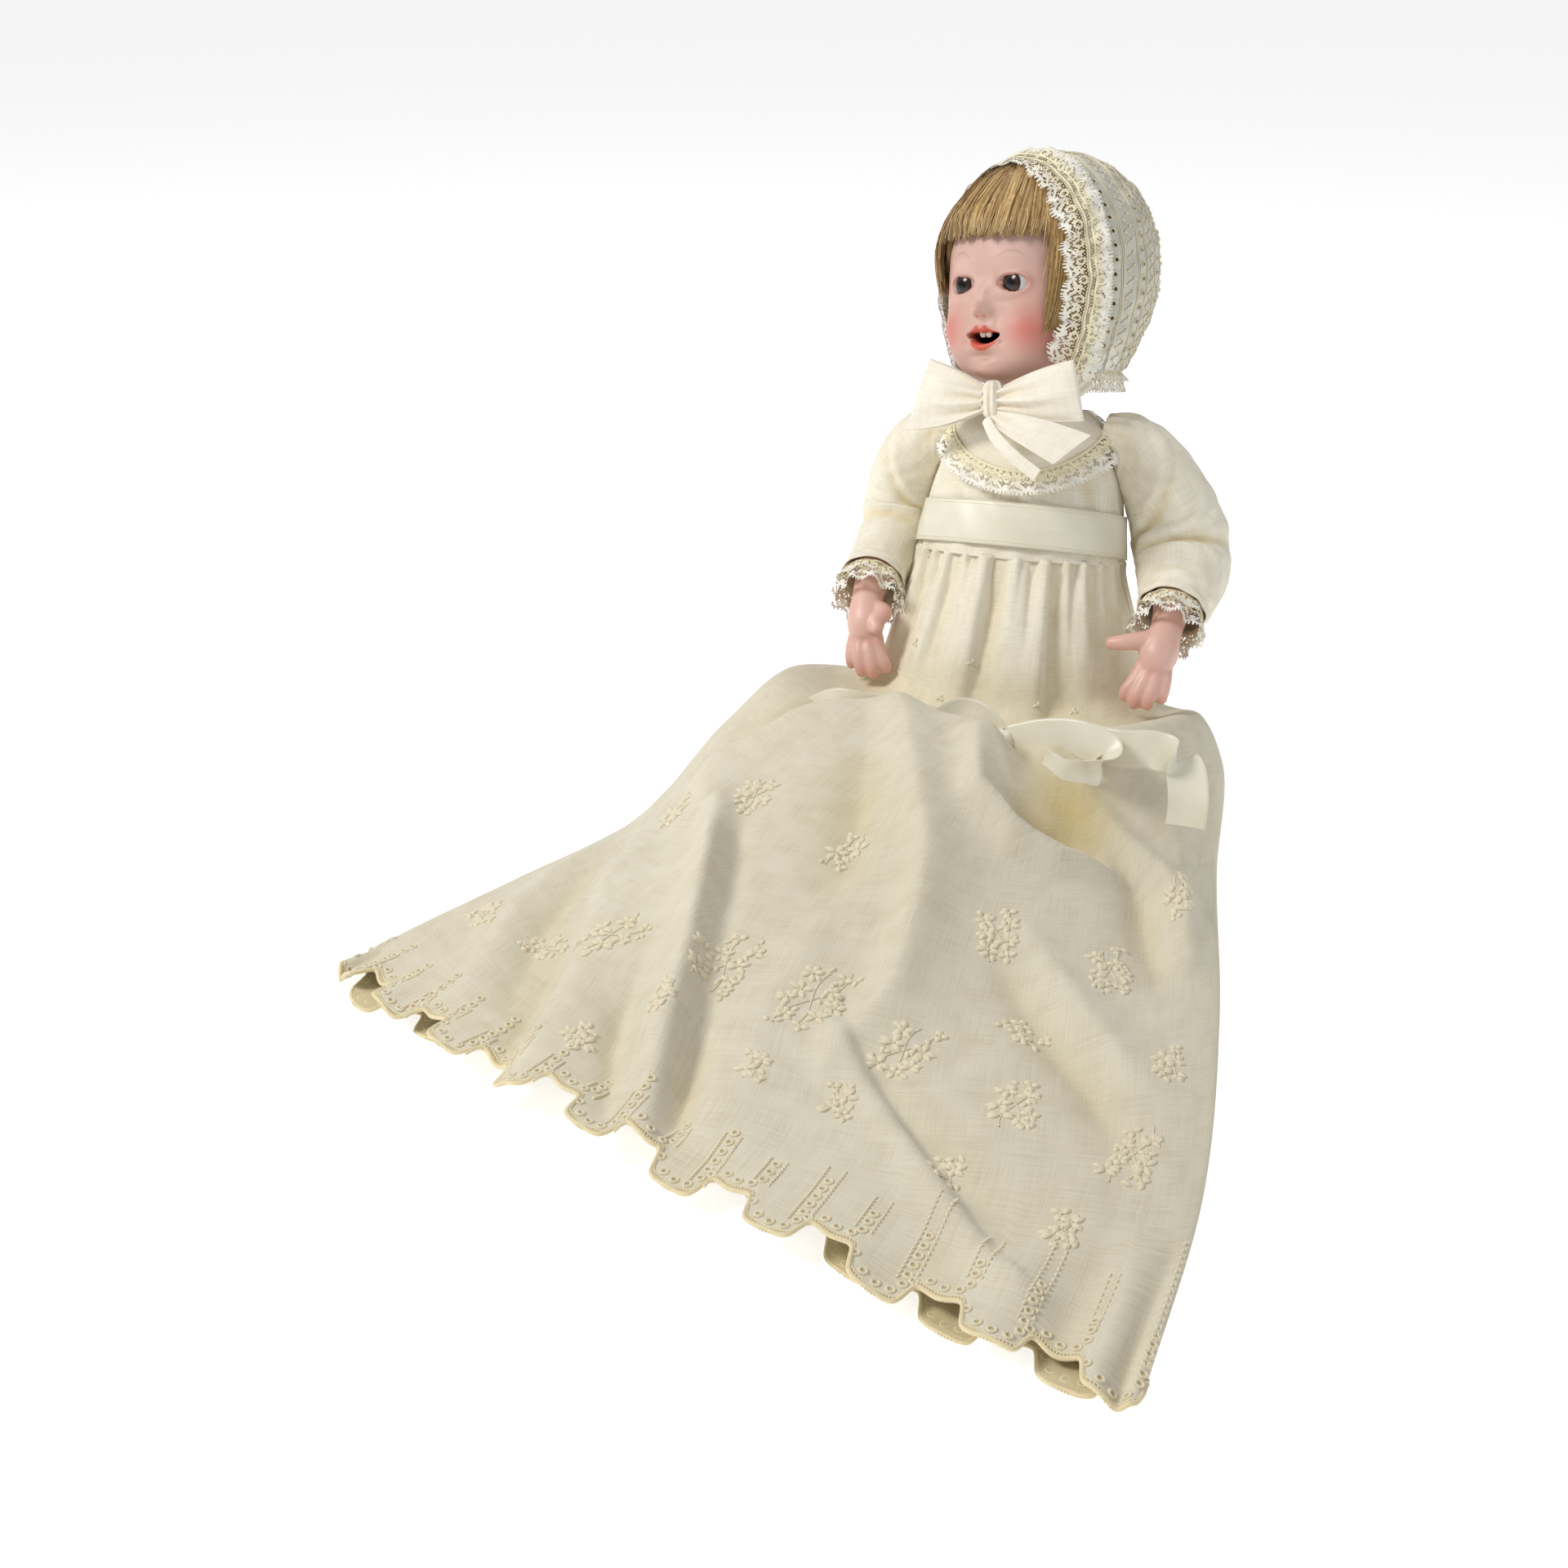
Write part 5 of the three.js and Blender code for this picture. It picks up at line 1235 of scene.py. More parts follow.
def make_bonnet():
    points = bonnet_grid.grid
    rows, columns, _ = points.shape
    eyelets = []
    for y in EYELET_LINES:
        line, run = rim_line(y, BONNET_HEM_Z + 3)
        for s in np.arange(3, run[-1] - 2, 6.0):
            eyelets.append((y, np.interp(s, run, line)))
    eyelets = np.array(eyelets)
    spots, _ = on_bonnet(eyelets[:, 0], eyelets[:, 1])
    behind_rim = points[..., 1] + BONNET_SLANT * points[..., 0] > BONNET_RIM_Y - 0.5
    keep = behind_rim & (points[..., 2] > BONNET_HEM_Z)
    for spot in spots:
        keep &= np.linalg.norm(points - spot, axis=-1) > 1.0
    quads = grid_quads(rows, columns)
    held = keep.ravel()[quads].all(axis=-1)
    lay = np.stack([np.arctan2(points[..., 2] - 48, points[..., 0]) * 50, points[..., 1]], axis=-1)
    cloth = Sheet(points, quads[held], (1, 1, 1), lay).tidy().eased(3)
    made = piece("bonnet_cloth", cloth, HEAD, SHEER, "head", ["bonnet"])
    declare(made)
    parts = []
    centre, n = on_bonnet(eyelets[:, 0], eyelets[:, 1], 0.15)
    angle = np.linspace(0, TAU, 12, endpoint=False)
    for c, up in zip(centre, n):
        a = unit(np.cross(up, [0, 1, 0.01]))
        b = np.cross(up, a)
        parts.append(tube(c + 1.25 * (np.cos(angle)[:, None] * a + np.sin(angle)[:, None] * b),
                          0.42, 5, closed=True))
    for y in CORD_LINES:
        line, run = rim_line(y, BONNET_HEM_Z + 1)
        path, _ = on_bonnet(np.full(len(line), y), line, 0.25)
        parts.append(tube(path, 0.3, 5))
    for y, swing, pitch in ZIGZAGS:
        line, run = rim_line(y, BONNET_HEM_Z + 2)
        s = np.arange(0, run[-1], 0.7)
        zigzag = y + swing * (2 / np.pi) * np.arcsin(np.sin(TAU * s / pitch))
        path, _ = on_bonnet(zigzag, np.interp(s, run, line), 0.25)
        parts.append(tube(path, 0.27, 5))
        s = np.arange(1.35, run[-1] - 1, pitch / 2)
        tips = y + 0.65 * swing * np.sin(TAU * s / pitch)
        place, up = on_bonnet(tips, np.interp(s, run, line), 0.3)
        parts.append(stitches(place, up, np.tile([0.3, 1.0, 0.2], (len(s), 1)), 1.7, 1.1, 0.5))
    # scattered vine stitching on the crown
    for y in np.arange(37, 56, 4.6):
        line, run = rim_line(y, BONNET_HEM_Z + 4)
        s = np.arange(2, run[-1], 3.6)
        place, up = on_bonnet(y + 1.3 * np.sin(s), np.interp(s, run, line), 0.3)
        parts.append(stitches(place, up, np.column_stack([np.cos(s), np.sin(s), 0 * s]), 2.6, 1.1, 0.5))
    piece("bonnet_stitching", together(parts), HEAD, THREAD, "head")


def ruffle(y0, toward, low_z, gather, high, folds, lift0):
    """Places a gathered strip that is sewn to the bonnet at y0 and runs towards one side of it."""
    line, run = rim_line(y0, low_z)

    def place(s, t):
        column = np.interp(s / gather, run, line)
        open_ = t / (t.max() + 1e-9)
        slow = np.sin(TAU * s / (folds * 2.3) + 2) * 0.5
        wave = np.sin(TAU * s / folds + 1.4 * np.sin(s / 17)) * 0.6 + slow
        lump = np.sin(s / 23 + 1) * 1.1
        near = 0.3 + 0.7 * step(BONNET_COLUMNS * 0.56, BONNET_COLUMNS * 0.4, column)
        lift = lift0 * near + high * near * open_ ** 0.8 * (0.55 + 0.6 * wave + 0.3 * lump)
        reach = t * (0.86 - 0.12 * wave * open_) * (near if toward < 0 else 1)
        return on_bonnet(y0 + toward * reach, column + 2.2 * open_ * np.cos(TAU * s / folds), lift)[0]

    return place, run[-1] * gather


# Each: line of sewing, direction, width, fullness, height, length of a fold, lift off the bonnet.
FACE_RUFFLES = [
    (-15.5, -1, 11.5, 1.4, 2.2, 13, 1.0),
    (-15.5, 1, 12.5, 1.6, 3.0, 16, 1.4), (-13.5, 1, 8.0, 1.4, 2.8, 12, 2.4),
]


def make_bonnet_lace():
    parts = []
    for y0, toward, width, gather, high, folds, lift0 in FACE_RUFFLES:
        place, length = ruffle(y0, toward, BONNET_HEM_Z + 1.0, gather, high, folds, lift0)
        parts.append(lace(place, length, width, LACE_CELL, sewn_edge_shade))
    made = piece("bonnet_face_ruffle", together(parts), HEAD, LACE, "head", ["bonnet_face_lace"])
    declare(made)
    # the frill at the nape hangs below the bonnet's lower edge
    turn = np.radians(np.linspace(-62, 242, 400))
    wide, deep, middle = profile(BONNET_RINGS)(np.array([BONNET_HEM_Z]))
    ring = np.stack([(wide + 0.8) * np.cos(turn),
                     middle + (deep + 0.8) * np.sin(turn), np.full(400, BONNET_HEM_Z + 1.5)], axis=-1)
    ring = ring[ring[:, 1] > -9]
    run = run_along(ring)

    def hang(out, drop, folds):
        def place(s, t):
            along = s / 1.5
            base = np.stack([np.interp(along, run, ring[:, k]) for k in range(3)], axis=-1)
            flat = base - [0, 7, 0]
            away = flat * [1, 1, 0] / np.linalg.norm(flat[..., :2], axis=-1)[..., None]
            open_ = t / (t.max() + 1e-9)
            wave = np.sin(TAU * s / folds) + 0.5 * np.sin(TAU * s / (folds * 2.1) + 1)
            down = np.stack([0 * s, 0 * s, -drop * t], axis=-1)
            return base + away * (out * open_ * (0.5 + 0.5 * wave) + 0.4)[..., None] + down
        return place

    parts = [lace(hang(2.6, 0.92, 15), run[-1] * 1.5, 10.5, LACE_CELL, sewn_edge_shade),
             lace(hang(3.6, 0.7, 12), run[-1] * 1.5, 7.0, LACE_CELL, sewn_edge_shade)]
    made = piece("bonnet_nape_frill", together(parts), HEAD, LACE, "head", ["bonnet_nape_lace"])
    declare(made)


# ---------------------------------------------------------------- gown bodice, collar and waist ribbon
def on_torso(turn, z, offset):
    """A place round the trunk: turn from the front towards the doll's left."""
    wide, deep, middle = torso_profile(z)
    return np.stack([(wide + offset) * np.sin(turn), middle - (deep + offset) * np.cos(turn), z + 0 * turn],
                    axis=-1)


def make_bodice():
    turn, z = np.meshgrid(ROUND, np.linspace(WAIST_Z - 3, BODICE_TOP_Z, 120))
    wrinkle = (0.35 * np.sin(turn * 9 + z / 7) * np.sin(z / 9 + turn * 3)
               + 0.25 * np.sin(turn * 21 + 2 * np.sin(z / 11)))
    pull = 1.1 * bell(np.abs(turn), 1.05,
                      0.18) * step(118, 132, z) - 0.8 * bell(np.abs(turn), 0.83, 0.1) * step(120, 134, z)
    points = on_torso(turn, z, 2.9 + wrinkle + pull)
    reach = np.hypot(points[..., 1], points[..., 2] - SHOULDER[2])
    keep = ~((np.abs(points[..., 0]) > 26) & (reach < 12.5))
    keep &= np.linalg.norm(points - [0, 0, 172], axis=-1) > 15.6
    quads = grid_quads(*turn.shape, True)
    # painted shade in the hollows of the bodice's wrinkles
    low = np.clip(-(wrinkle + pull), 0, 1)[..., None]
    tint = 1 - low * np.array([0.05, 0.09, 0.2])
    sheet = Sheet(points, quads[keep.ravel()[quads].all(axis=-1)],
                  tint, np.stack([turn * 40, z], axis=-1)).tidy().eased(3)
    made = piece("bodice_cloth", sheet.thick(LAWN_THICKNESS), TRUNK, LAWN, "body", ["gown_bodice"])
    declare(made)


def make_waist_ribbon():
    turn, t = np.meshgrid(ROUND, np.linspace(0, 1, 26))
    rise = 4 * np.cos(turn)
    wave = 0.3 * np.sin(turn * 5 + 1) + 0.2 * np.sin(turn * 13 + 4 * t)
    points = on_torso(turn, WAIST_Z - 1 + RIBBON_WIDTH * t, 4.4 + wave + 0.15 * np.sin(np.pi * t))
    points[..., 2] += rise
    sheet = Sheet(points, grid_quads(*turn.shape, True),
                  (1, 1, 1), np.stack([turn * 43, t * RIBBON_WIDTH], axis=-1))
    parts = [sheet.thick(0.4)]
    for row in (0, 2, -3, -1):
        edge = points[row] + 0.3 * points[row] * [1, 1, 0] / 45
        parts.append(tube(edge, 0.24 if row in (0, -1) else 0.12, 5, (0.98, 0.97, 0.9), closed=True))
    made = piece("waist_ribbon_satin", together(parts), TRUNK, SATIN, "body", ["waist_ribbon"])
    declare(made)


def on_collar(around, out, lift, back):
    """A place on the round collar: around from straight down, out from the neck to the edge."""
    x = 35 * out * np.sin(around)
    drop = np.maximum(2.5 + 25.5 * out * np.cos(around), 0.5)
    z = BODICE_TOP_Z - drop
    wide, deep, middle = torso_profile(z)
    offset = 4.9 + 0.03 * drop + lift
    inside = np.clip(x / (wide + offset), -0.985, 0.985)
    y = (deep + offset) * np.sqrt(1 - inside**2)
    return np.stack([inside * (wide + offset), middle + np.where(back, y, -y), z], axis=-1)


COLLAR_LACE_RUN, COLLAR_LACE_WIDTH = 118.0, 12.0  # for each half of the collar


def aged_header(s, t):
    return np.ones((*s.shape, 3)) * np.array([0.97, 0.92, 0.74])


def make_collar():
    fronts, laces = [], []
    for back in (False, True):
        around, out = np.meshgrid(np.linspace(-1.9, 1.9, 260), np.linspace(0.42, 1.0, 60))
        soft = 0.8 * np.sin(np.pi * step(0.4, 1.0, out)) * (1 + 0.4 * np.sin(around * 3 + 1))
        dent = -0.8 * bell(around, -0.35, 0.22) * bell(out, 0.72, 0.14)
        points = on_collar(around, out, soft + dent + 0.25 * np.sin(around * 11 + out * 9), back)
        quads = grid_quads(*around.shape)
        quads = quads[..., ::-1] if back else quads
        # painted shade under the lace ruffle at the collar's edge and near the neck
        low = np.clip(bell(out, 0.98, 0.1) * 0.5 + 0.4 * bell(out, 0.45, 0.15), 0, 1)[..., None]
        tint = 1 - low * np.array([0.04, 0.08, 0.2])
        fronts.append(Sheet(points, quads,
                            tint, np.stack([around * 35, out * 30], axis=-1)).thick(LAWN_THICKNESS))
        fronts.append(tube(on_collar(around[-1], out[-1] - 0.005, soft[-1] + 0.15, back), 0.42, 5))

        def place(s, t, back=back, width=COLLAR_LACE_WIDTH, gather=1.55):
            length = s / gather
            bearing = -1.9 + 3.8 * length / COLLAR_LACE_RUN
            open_ = t / width
            wave = np.sin(TAU * s / 12.5) * 0.6 + np.sin(TAU * s / 29 + 1) * 0.5
            lift = 0.7 + open_ * (2.2 + 1.2 * wave)
            return on_collar(bearing + 0.02 * open_ * np.cos(TAU * s / 12.5), 0.985 + t * 0.034, lift, back)

        laces.append(lace(place, COLLAR_LACE_RUN * 1.55, COLLAR_LACE_WIDTH, LACE_CELL, sewn_edge_shade))
        laces.append(lace(lambda s, t: place(s + 5, t) + [0, 0, 0.4],
                          COLLAR_LACE_RUN * 1.5, 5.5, LACE_CELL, aged_header))
    collar = piece("collar_cloth", together(fronts), TRUNK, LAWN, "body", ["collar"])
    declare(collar)
    made = piece("collar_ruffle", together(laces),
                 TRUNK, LACE, "body", ["collar_lace_front", "collar_lace_back"])
    declare(made)


# ---------------------------------------------------------------- sleeves, cuffs, arms and hands
SLEEVE_PATH = [[31, 0, 158.5], [42, 0.2, 156], [52, 0.5, 149], [61, 3, 137], [68.5, 5.5, 123], [72, 0.5, 107],
               [72, -11, 95], [71, -21, 87]]
SLEEVE_RADII = [9, 12.6, 14.5, 16, 17.6, 19.5, 17.5, 14.4]
CUFF_PATH = [[71, -20.8, 87.0], [70.7, -26, 82.6], [70.4, -31, 78.6]]
ARM_PATH = [[33, 0, 155], [42, 0, 154.5],
            [53, 1, 148], [63, 5, 135], [69, 9, 120], [71, 3, 107], [71, -14, 92],
            [70.5, -29, 80], [69, -34, 70], [67.5, -37, 60]]
ARM_RADII = [9, 11, 10.5, 11, 10.8, 10.5, 9, 6.9, 8.4, 5.0]
ARM_TUCK = 9  # how much closer to the trunk the right arm lies, from the elbow down
RIGHT_SLEEVE_RADII = [9, 12.2, 13, 13.2, 13.3, 13.4, 13.5, 14.4]


def tucked(points):
    points = np.array(points, float)
    points[..., 0] -= ARM_TUCK * np.clip((SHOULDER[2] - points[..., 2]) / 48, 0, 1)
    return points


def pipe(path, radii, turn, t):
    """A round tube along a path: turn 0 faces the trunk, and a quarter turn on faces back."""
    path = np.asarray(path, float)
    here = smooth(path, t)
    ahead = heading(path, t)
    side = unit(np.cross([0, 1.0, 0], ahead))
    over = np.cross(ahead, side)
    size = smooth(np.column_stack([np.arange(len(radii)), radii]), t)[..., 1]
    return here, ahead, np.cos(turn)[..., None] * side + np.sin(turn)[..., None] * over, size


# Where each crease starts and ends, round and along the sleeve, its height and its reach.
SLEEVE_CREASES = [
    (0.60, 0.26, 0.95, 0.52, 2.6, 0.030),
    (0.63, 0.31, 0.97, 0.57, -2.4, 0.035), (0.50, 0.66, 0.93, 0.70, -2.8, 0.032),
    (0.50, 0.60, 0.90, 0.635, 2.0, 0.035),
    (0.55, 0.74, 0.86, 0.79, 1.4, 0.03), (0.86, 0.50, 1.02, 0.74, -2.2, 0.03),
    (0.30, 0.55, 0.45, 0.72, -1.6, 0.03),
    (0.15, 0.40, 0.4, 0.5, 1.4, 0.035), (0.7, 0.1, 0.86, 0.3, -1.2, 0.03),
    (0.66, 0.86, 0.9, 0.9, -1.0, 0.02), (0.12, 0.62, 0.3, 0.68, -2.0, 0.03),
]


def make_sleeves():
    turn, t = np.meshgrid(np.linspace(0, TAU, 241)[:-1], np.linspace(0, 1, 200))
    u = turn / (TAU)
    fine = 0.2 * np.sin(u * 60 + 5 * np.sin(t * 17))
    relief = 0.35 * np.sin(u * 38 + t * 22) * np.sin(t * 26 + u * 9) + fine
    for u0, t0, u1, t1, height, reach in SLEEVE_CREASES:
        for wrap in (-1, 0, 1):
            a, b = u - u0 + wrap, t - t0
            du, dt = u1 - u0, t1 - t0
            spot = np.clip((a * du + b * dt) / (du * du + dt * dt), 0, 1)
            close = np.exp(-(np.hypot(a - spot * du, b - spot * dt) / reach) ** 2)
            relief += height * close * np.sin(np.pi * (0.1 + 0.8 * spot))
    edge, seam = 0.6 * bell(t, 0.985, 0.012), 0.5 * bell(t, 0.955, 0.01)
    relief += 0.7 * np.cos(u * TAU * 15) * step(0.2, 0.02, t) + edge - seam
    # painted shade in the hollows of the sleeve's creases and puckers
    low = np.clip(-relief / 2.5, 0, 1)[..., None]
    tint = 1 - low * np.array([0.06, 0.12, 0.28])
    # the left sleeve lies against the bodice under the arm
    fuller = 3.2 * (bell(u, 0, 0.13) + bell(u, 1, 0.13)) * bell(t, 0.42, 0.2)
    fuller += 4.2 * (bell(u, 0, 0.13) + bell(u, 1, 0.13)) * bell(t, 0.62, 0.15)
    right_path = tucked(ARM_PATH[:7] + SLEEVE_PATH[-1:])
    for name, side, path, radii, extra in (
        ("left", 1, SLEEVE_PATH, SLEEVE_RADII, relief + fuller),
        ("right", -1, right_path, RIGHT_SLEEVE_RADII, 0.55 * relief + 0.9 * fuller),
    ):
        here, _, out, size = pipe(path, radii, turn, t)
        sheet = Sheet(here + out * (size + extra)[..., None], grid_quads(*turn.shape, True), tint,
                      np.stack([turn * 16, t * 115], axis=-1)).thick(LAWN_THICKNESS)
        sheet = sheet if side > 0 else sheet.mirrored()
        made = piece(f"sleeve_cloth_{name}", sheet, TRUNK, LAWN, None, [f"sleeve_{name}"])
        declare(made)
        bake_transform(made)


CUFF_RUN = 125.0  # lace gathered onto each cuff


def make_cuffs():
    def tier(path, flare, reach, folds, shift):
        def place(s, t):
            turn = s / CUFF_RUN * TAU
            along = shift + reach * t / 14
            here, ahead, out, _ = pipe(path, [1, 1, 1], turn, np.clip(along, 0, 1))
            here = here + ahead * (np.maximum(along - 1, 0) * 14)[..., None]
            wave = np.sin(turn * folds) + 0.5 * np.sin(turn * (folds // 2) + 1)
            size = 13.6 + flare * t / 10 + 1.1 * wave * (0.25 + t / 10)
            return here + out * size[..., None]
        return place

    for name, path in (("left", CUFF_PATH), ("right", tucked(CUFF_PATH))):
        parts = [lace(tier(path, 0.8, 1.0, 9, 0.0), CUFF_RUN, 15.0, LACE_CELL, sewn_edge_shade),
                 lace(tier(path, 2.2, 0.85, 7, -0.02), CUFF_RUN, 10.0, LACE_CELL, sewn_edge_shade)]
        sheet = together(parts)
        if name == "right":
            sheet = sheet.mirrored()
        made = piece(f"cuff_ruffle_{name}", sheet, TRUNK, LACE, f"{name}_arm", [f"cuff_lace_{name}"])
        declare(made)


def bean(path, radii, sides=20, rows=40):
    """A closed round form along a path, for a limb or a finger, with rounded ends."""
    t = np.linspace(0, 1, rows)
    reach = np.linalg.norm(np.diff(np.asarray(path, float), axis=0), axis=1).sum()
    here = smooth(path, t)
    size = smooth(np.column_stack([np.arange(len(radii)), radii]), t)[:, 1]
    for end, near in ((t, radii[0]), (1 - t, radii[-1])):
        part = np.clip(end * reach / near, 0, 1)
        size = size * np.sqrt(np.clip(1 - (1 - part) ** 2, 1e-6, 1))
    return tube(here, size, sides)


THUMBS = {"left": [(53, -37.5, 73.5), (46.5, -37.2, 72.5)], "right": [(54.5, -39.5, 71), (51, -43, 67)]}


def hand_shape(thumb, place):
    """A hand: a rounded palm, four curled fingers and a thumb held away from them."""
    fingers = [
        ([(64.5, -35, 68), (61, -38.5, 59), (57.5, -39.5, 53), (57, -37.6, 49.5)], (3.7, 3.2, 2.9, 2.4)),
        ([(67, -36, 66), (64.5, -40.5, 57), (62, -41.5, 50.5), (62, -39.2, 47)], (3.7, 3.3, 3.0, 2.5)),
        ([(70, -36, 66), (69, -40.5, 57), (67.5, -41.5, 50.5), (67, -39.2, 47.2)], (3.6, 3.2, 2.9, 2.4)),
        ([(72.5, -34, 67), (73.3, -38, 58.5), (73, -39, 53), (72.3, -37, 50)], (3.4, 3.0, 2.6, 2.2)),
    ]
    palm = bean(place([(70.3, -30, 79), (69, -33.5, 71), (67.5, -36, 64)]), (7.2, 8.6, 7.2))
    palm.points[:, 1] = -33.5 + (palm.points[:, 1] + 33.5) * 0.82
    thumb = bean(np.vstack([place([(68, -32, 76), (61, -35.5, 75)]), thumb]), (5.2, 4.1, 3.4, 2.5), 14, 30)
    return [palm, thumb] + [bean(place(path), radii, 14, 30) for path, radii in fingers]


def make_arms():
    for name in ("left", "right"):
        place = np.array if name == "left" else tucked
        form = together([bean(place(ARM_PATH), ARM_RADII, 28, 120)] + hand_shape(THUMBS[name], place))
        if name == "right":
            form = form.mirrored()
        rough = piece(f"arm_form_{name}", form, TRUNK, FLESH_PAINT)
        remesh = rough.modifiers.new("skin", "REMESH")
        remesh.mode, remesh.voxel_size, remesh.use_smooth_shade = "VOXEL", 0.00075, True
        soften = rough.modifiers.new("soften", "SMOOTH")
        soften.factor, soften.iterations = 0.5, 7
        bpy.context.view_layer.update()
        shape = bpy.data.meshes.new_from_object(rough.evaluated_get(bpy.context.evaluated_depsgraph_get()))
        bpy.data.objects.remove(rough)
        points = np.empty(len(shape.vertices) * 3, np.float32)
        shape.vertices.foreach_get("co", points)
        local = points.reshape(-1, 3) * 1000 @ TRUNK[:3, :3]  # back into the trunk frame, which has no offset
        side = 1 if name == "left" else -1
        x, y, z = local[:, 0] * side, local[:, 1], local[:, 2]
        # painted marks: the wrist crease as a line of painted shade, pink at the knuckle dimples and on the
        # nails
        wrist_crease_shade = -0.7 * np.exp(-(((z + 0.65 * y - 62.5) / 1.1) ** 2)) * (z > 66) * (z < 92)
        flesh = np.array(srgb(232, 190, 176)) * np.ones((len(local), 1))
        tips = np.clip(step(58, 48, z) + step(56, 46, x) * (z > 66) * (z < 80), 0, 1)[:, None] * 0.45
        flesh = blended(flesh, tips, srgb(226, 158, 144))
        knuckle = (bell(z, 63, 2.0) * bell(y, -42, 3.5))[:, None] * 0.35
        flesh = blended(flesh, knuckle, srgb(222, 156, 142))
        fold = np.clip(-wrist_crease_shade / 0.7, 0, 1)[:, None] * 0.4
        flesh = blended(flesh, fold, srgb(206, 138, 122))
        attribute(shape, "tint", "FLOAT_COLOR", "color", flesh, 1)
        shape.polygons.foreach_set("use_smooth", np.ones(len(shape.polygons), bool))
        shape.materials.clear()
        shape.materials.append(FLESH_PAINT)
        arm = bpy.data.objects.new(f"arm_cast_{name}", shape)
        bpy.context.scene.collection.objects.link(arm)
        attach(arm, f"{name}_arm")
        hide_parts(f"arm_{name}")


# ---------------------------------------------------------------- ribbons and bows
def strip(path, cross, width, columns=120, rows=18, crown=0.0, wave=0.0):
    """A ribbon along a path: cross points over its width at each of the path's points."""
    t, w = np.meshgrid(np.linspace(0, 1, columns), np.linspace(-0.5, 0.5, rows))
    here, over, ahead = smooth(path, t), unit(smooth(cross, t)), heading(path, t)
    over = unit(over - ahead * np.sum(over * ahead, axis=-1, keepdims=True))
    up = np.cross(ahead, over)
    size = np.interp(t, np.linspace(0, 1, len(width)), width) if np.ndim(width) else width
    lift = crown * (1 - 4 * w * w) + wave * np.sin(t * 19 + w * 3)
    points = here + over * (w * size)[..., None] + up * lift[..., None]
    lay = np.stack(np.broadcast_arrays(run_along(here[0])[None], w * 18), axis=-1)
    return Sheet(points, grid_quads(rows, columns), (1, 1, 1), lay)


def selvedged(sheet, rows, columns, thickness=0.35, thread=0.3):
    """A ribbon with its woven edges."""
    grid = sheet.points.reshape(rows, columns, 3)
    return together([sheet.thick(thickness)]
                    + [tube(grid[k], thread if k in (0, -1) else 0.16, 5) for k in (0, 1, -2, -1)])


KNOT = np.array([5, -40, 1.5])


def bow_loop(side, tip_top, tip_low, swing, seed):
    """A loop of folded lawn: out in front from the knot, round the fold at its tip and back behind."""
    p, w = np.meshgrid(np.linspace(0.0, 2.0, 161), np.linspace(0, 1, 56))
    s = np.sin(np.pi * p / 2)
    facing = np.sign(np.cos(np.pi * p / 2)) * np.abs(np.cos(np.pi * p / 2)) ** 0.6
    top = np.array([3.0, 4.6]) * (1 - s[..., None]) + np.array(tip_top) * s[..., None]
    low = np.array([3.0, -4.4]) * (1 - s[..., None]) + np.array(tip_low) * s[..., None]
    flat = low * (1 - w[..., None]) + top * w[..., None]
    flat[..., 1] += 1.8 * np.sin(np.pi * s) * (w - 0.4) - 1.5 * np.sin(np.pi * s * 0.9) * (1 - w)
    belly = 4.6 * np.sin(np.pi * np.clip(w, 0.04, 0.96)) ** 0.5 * (0.35 + 0.65 * np.sin(np.pi * s * 0.75))
    ridge = 0.8 * bell(w, 0.62, 0.09 + 0.1 * s) * np.sin(np.pi * s)
    pleats = (1 - s) ** 1.2 * 1.5 * np.sin(w * 17 + seed) + ridge
    pleats += 0.9 * bell(w, 0.36 + 0.1 * s, 0.08) * np.sin(np.pi * s) ** 0.8
    depth = -facing * (belly * 0.8 + 0.5) - pleats * np.where(p < 1, 1, -0.4)
    depth += swing * flat[..., 0]
    points = np.stack([side * flat[..., 0], depth, flat[..., 1]], axis=-1) + KNOT
    low_light = np.clip(1 - s * 1.6, 0, 1)[..., None] * (0.5 + 0.5 * np.sin(w * 17 + seed + 3.1))[..., None]
    tint = 1 - 0.8 * low_light * np.array([0.06, 0.12, 0.24])
    lay = np.stack([p * 40, w * 26], axis=-1)
    quads = grid_quads(*p.shape)
    sheet = Sheet(points, quads if side < 0 else quads[..., ::-1], tint, lay)
    hems = [tube(points[k], 0.4, 5) for k in (0, -1)]
    hems += [tube(points[k], 0.26, 4, (0.97, 0.94, 0.86)) for k in (3, -4)]
    return together([sheet.thick(BOW_THICKNESS)] + hems)


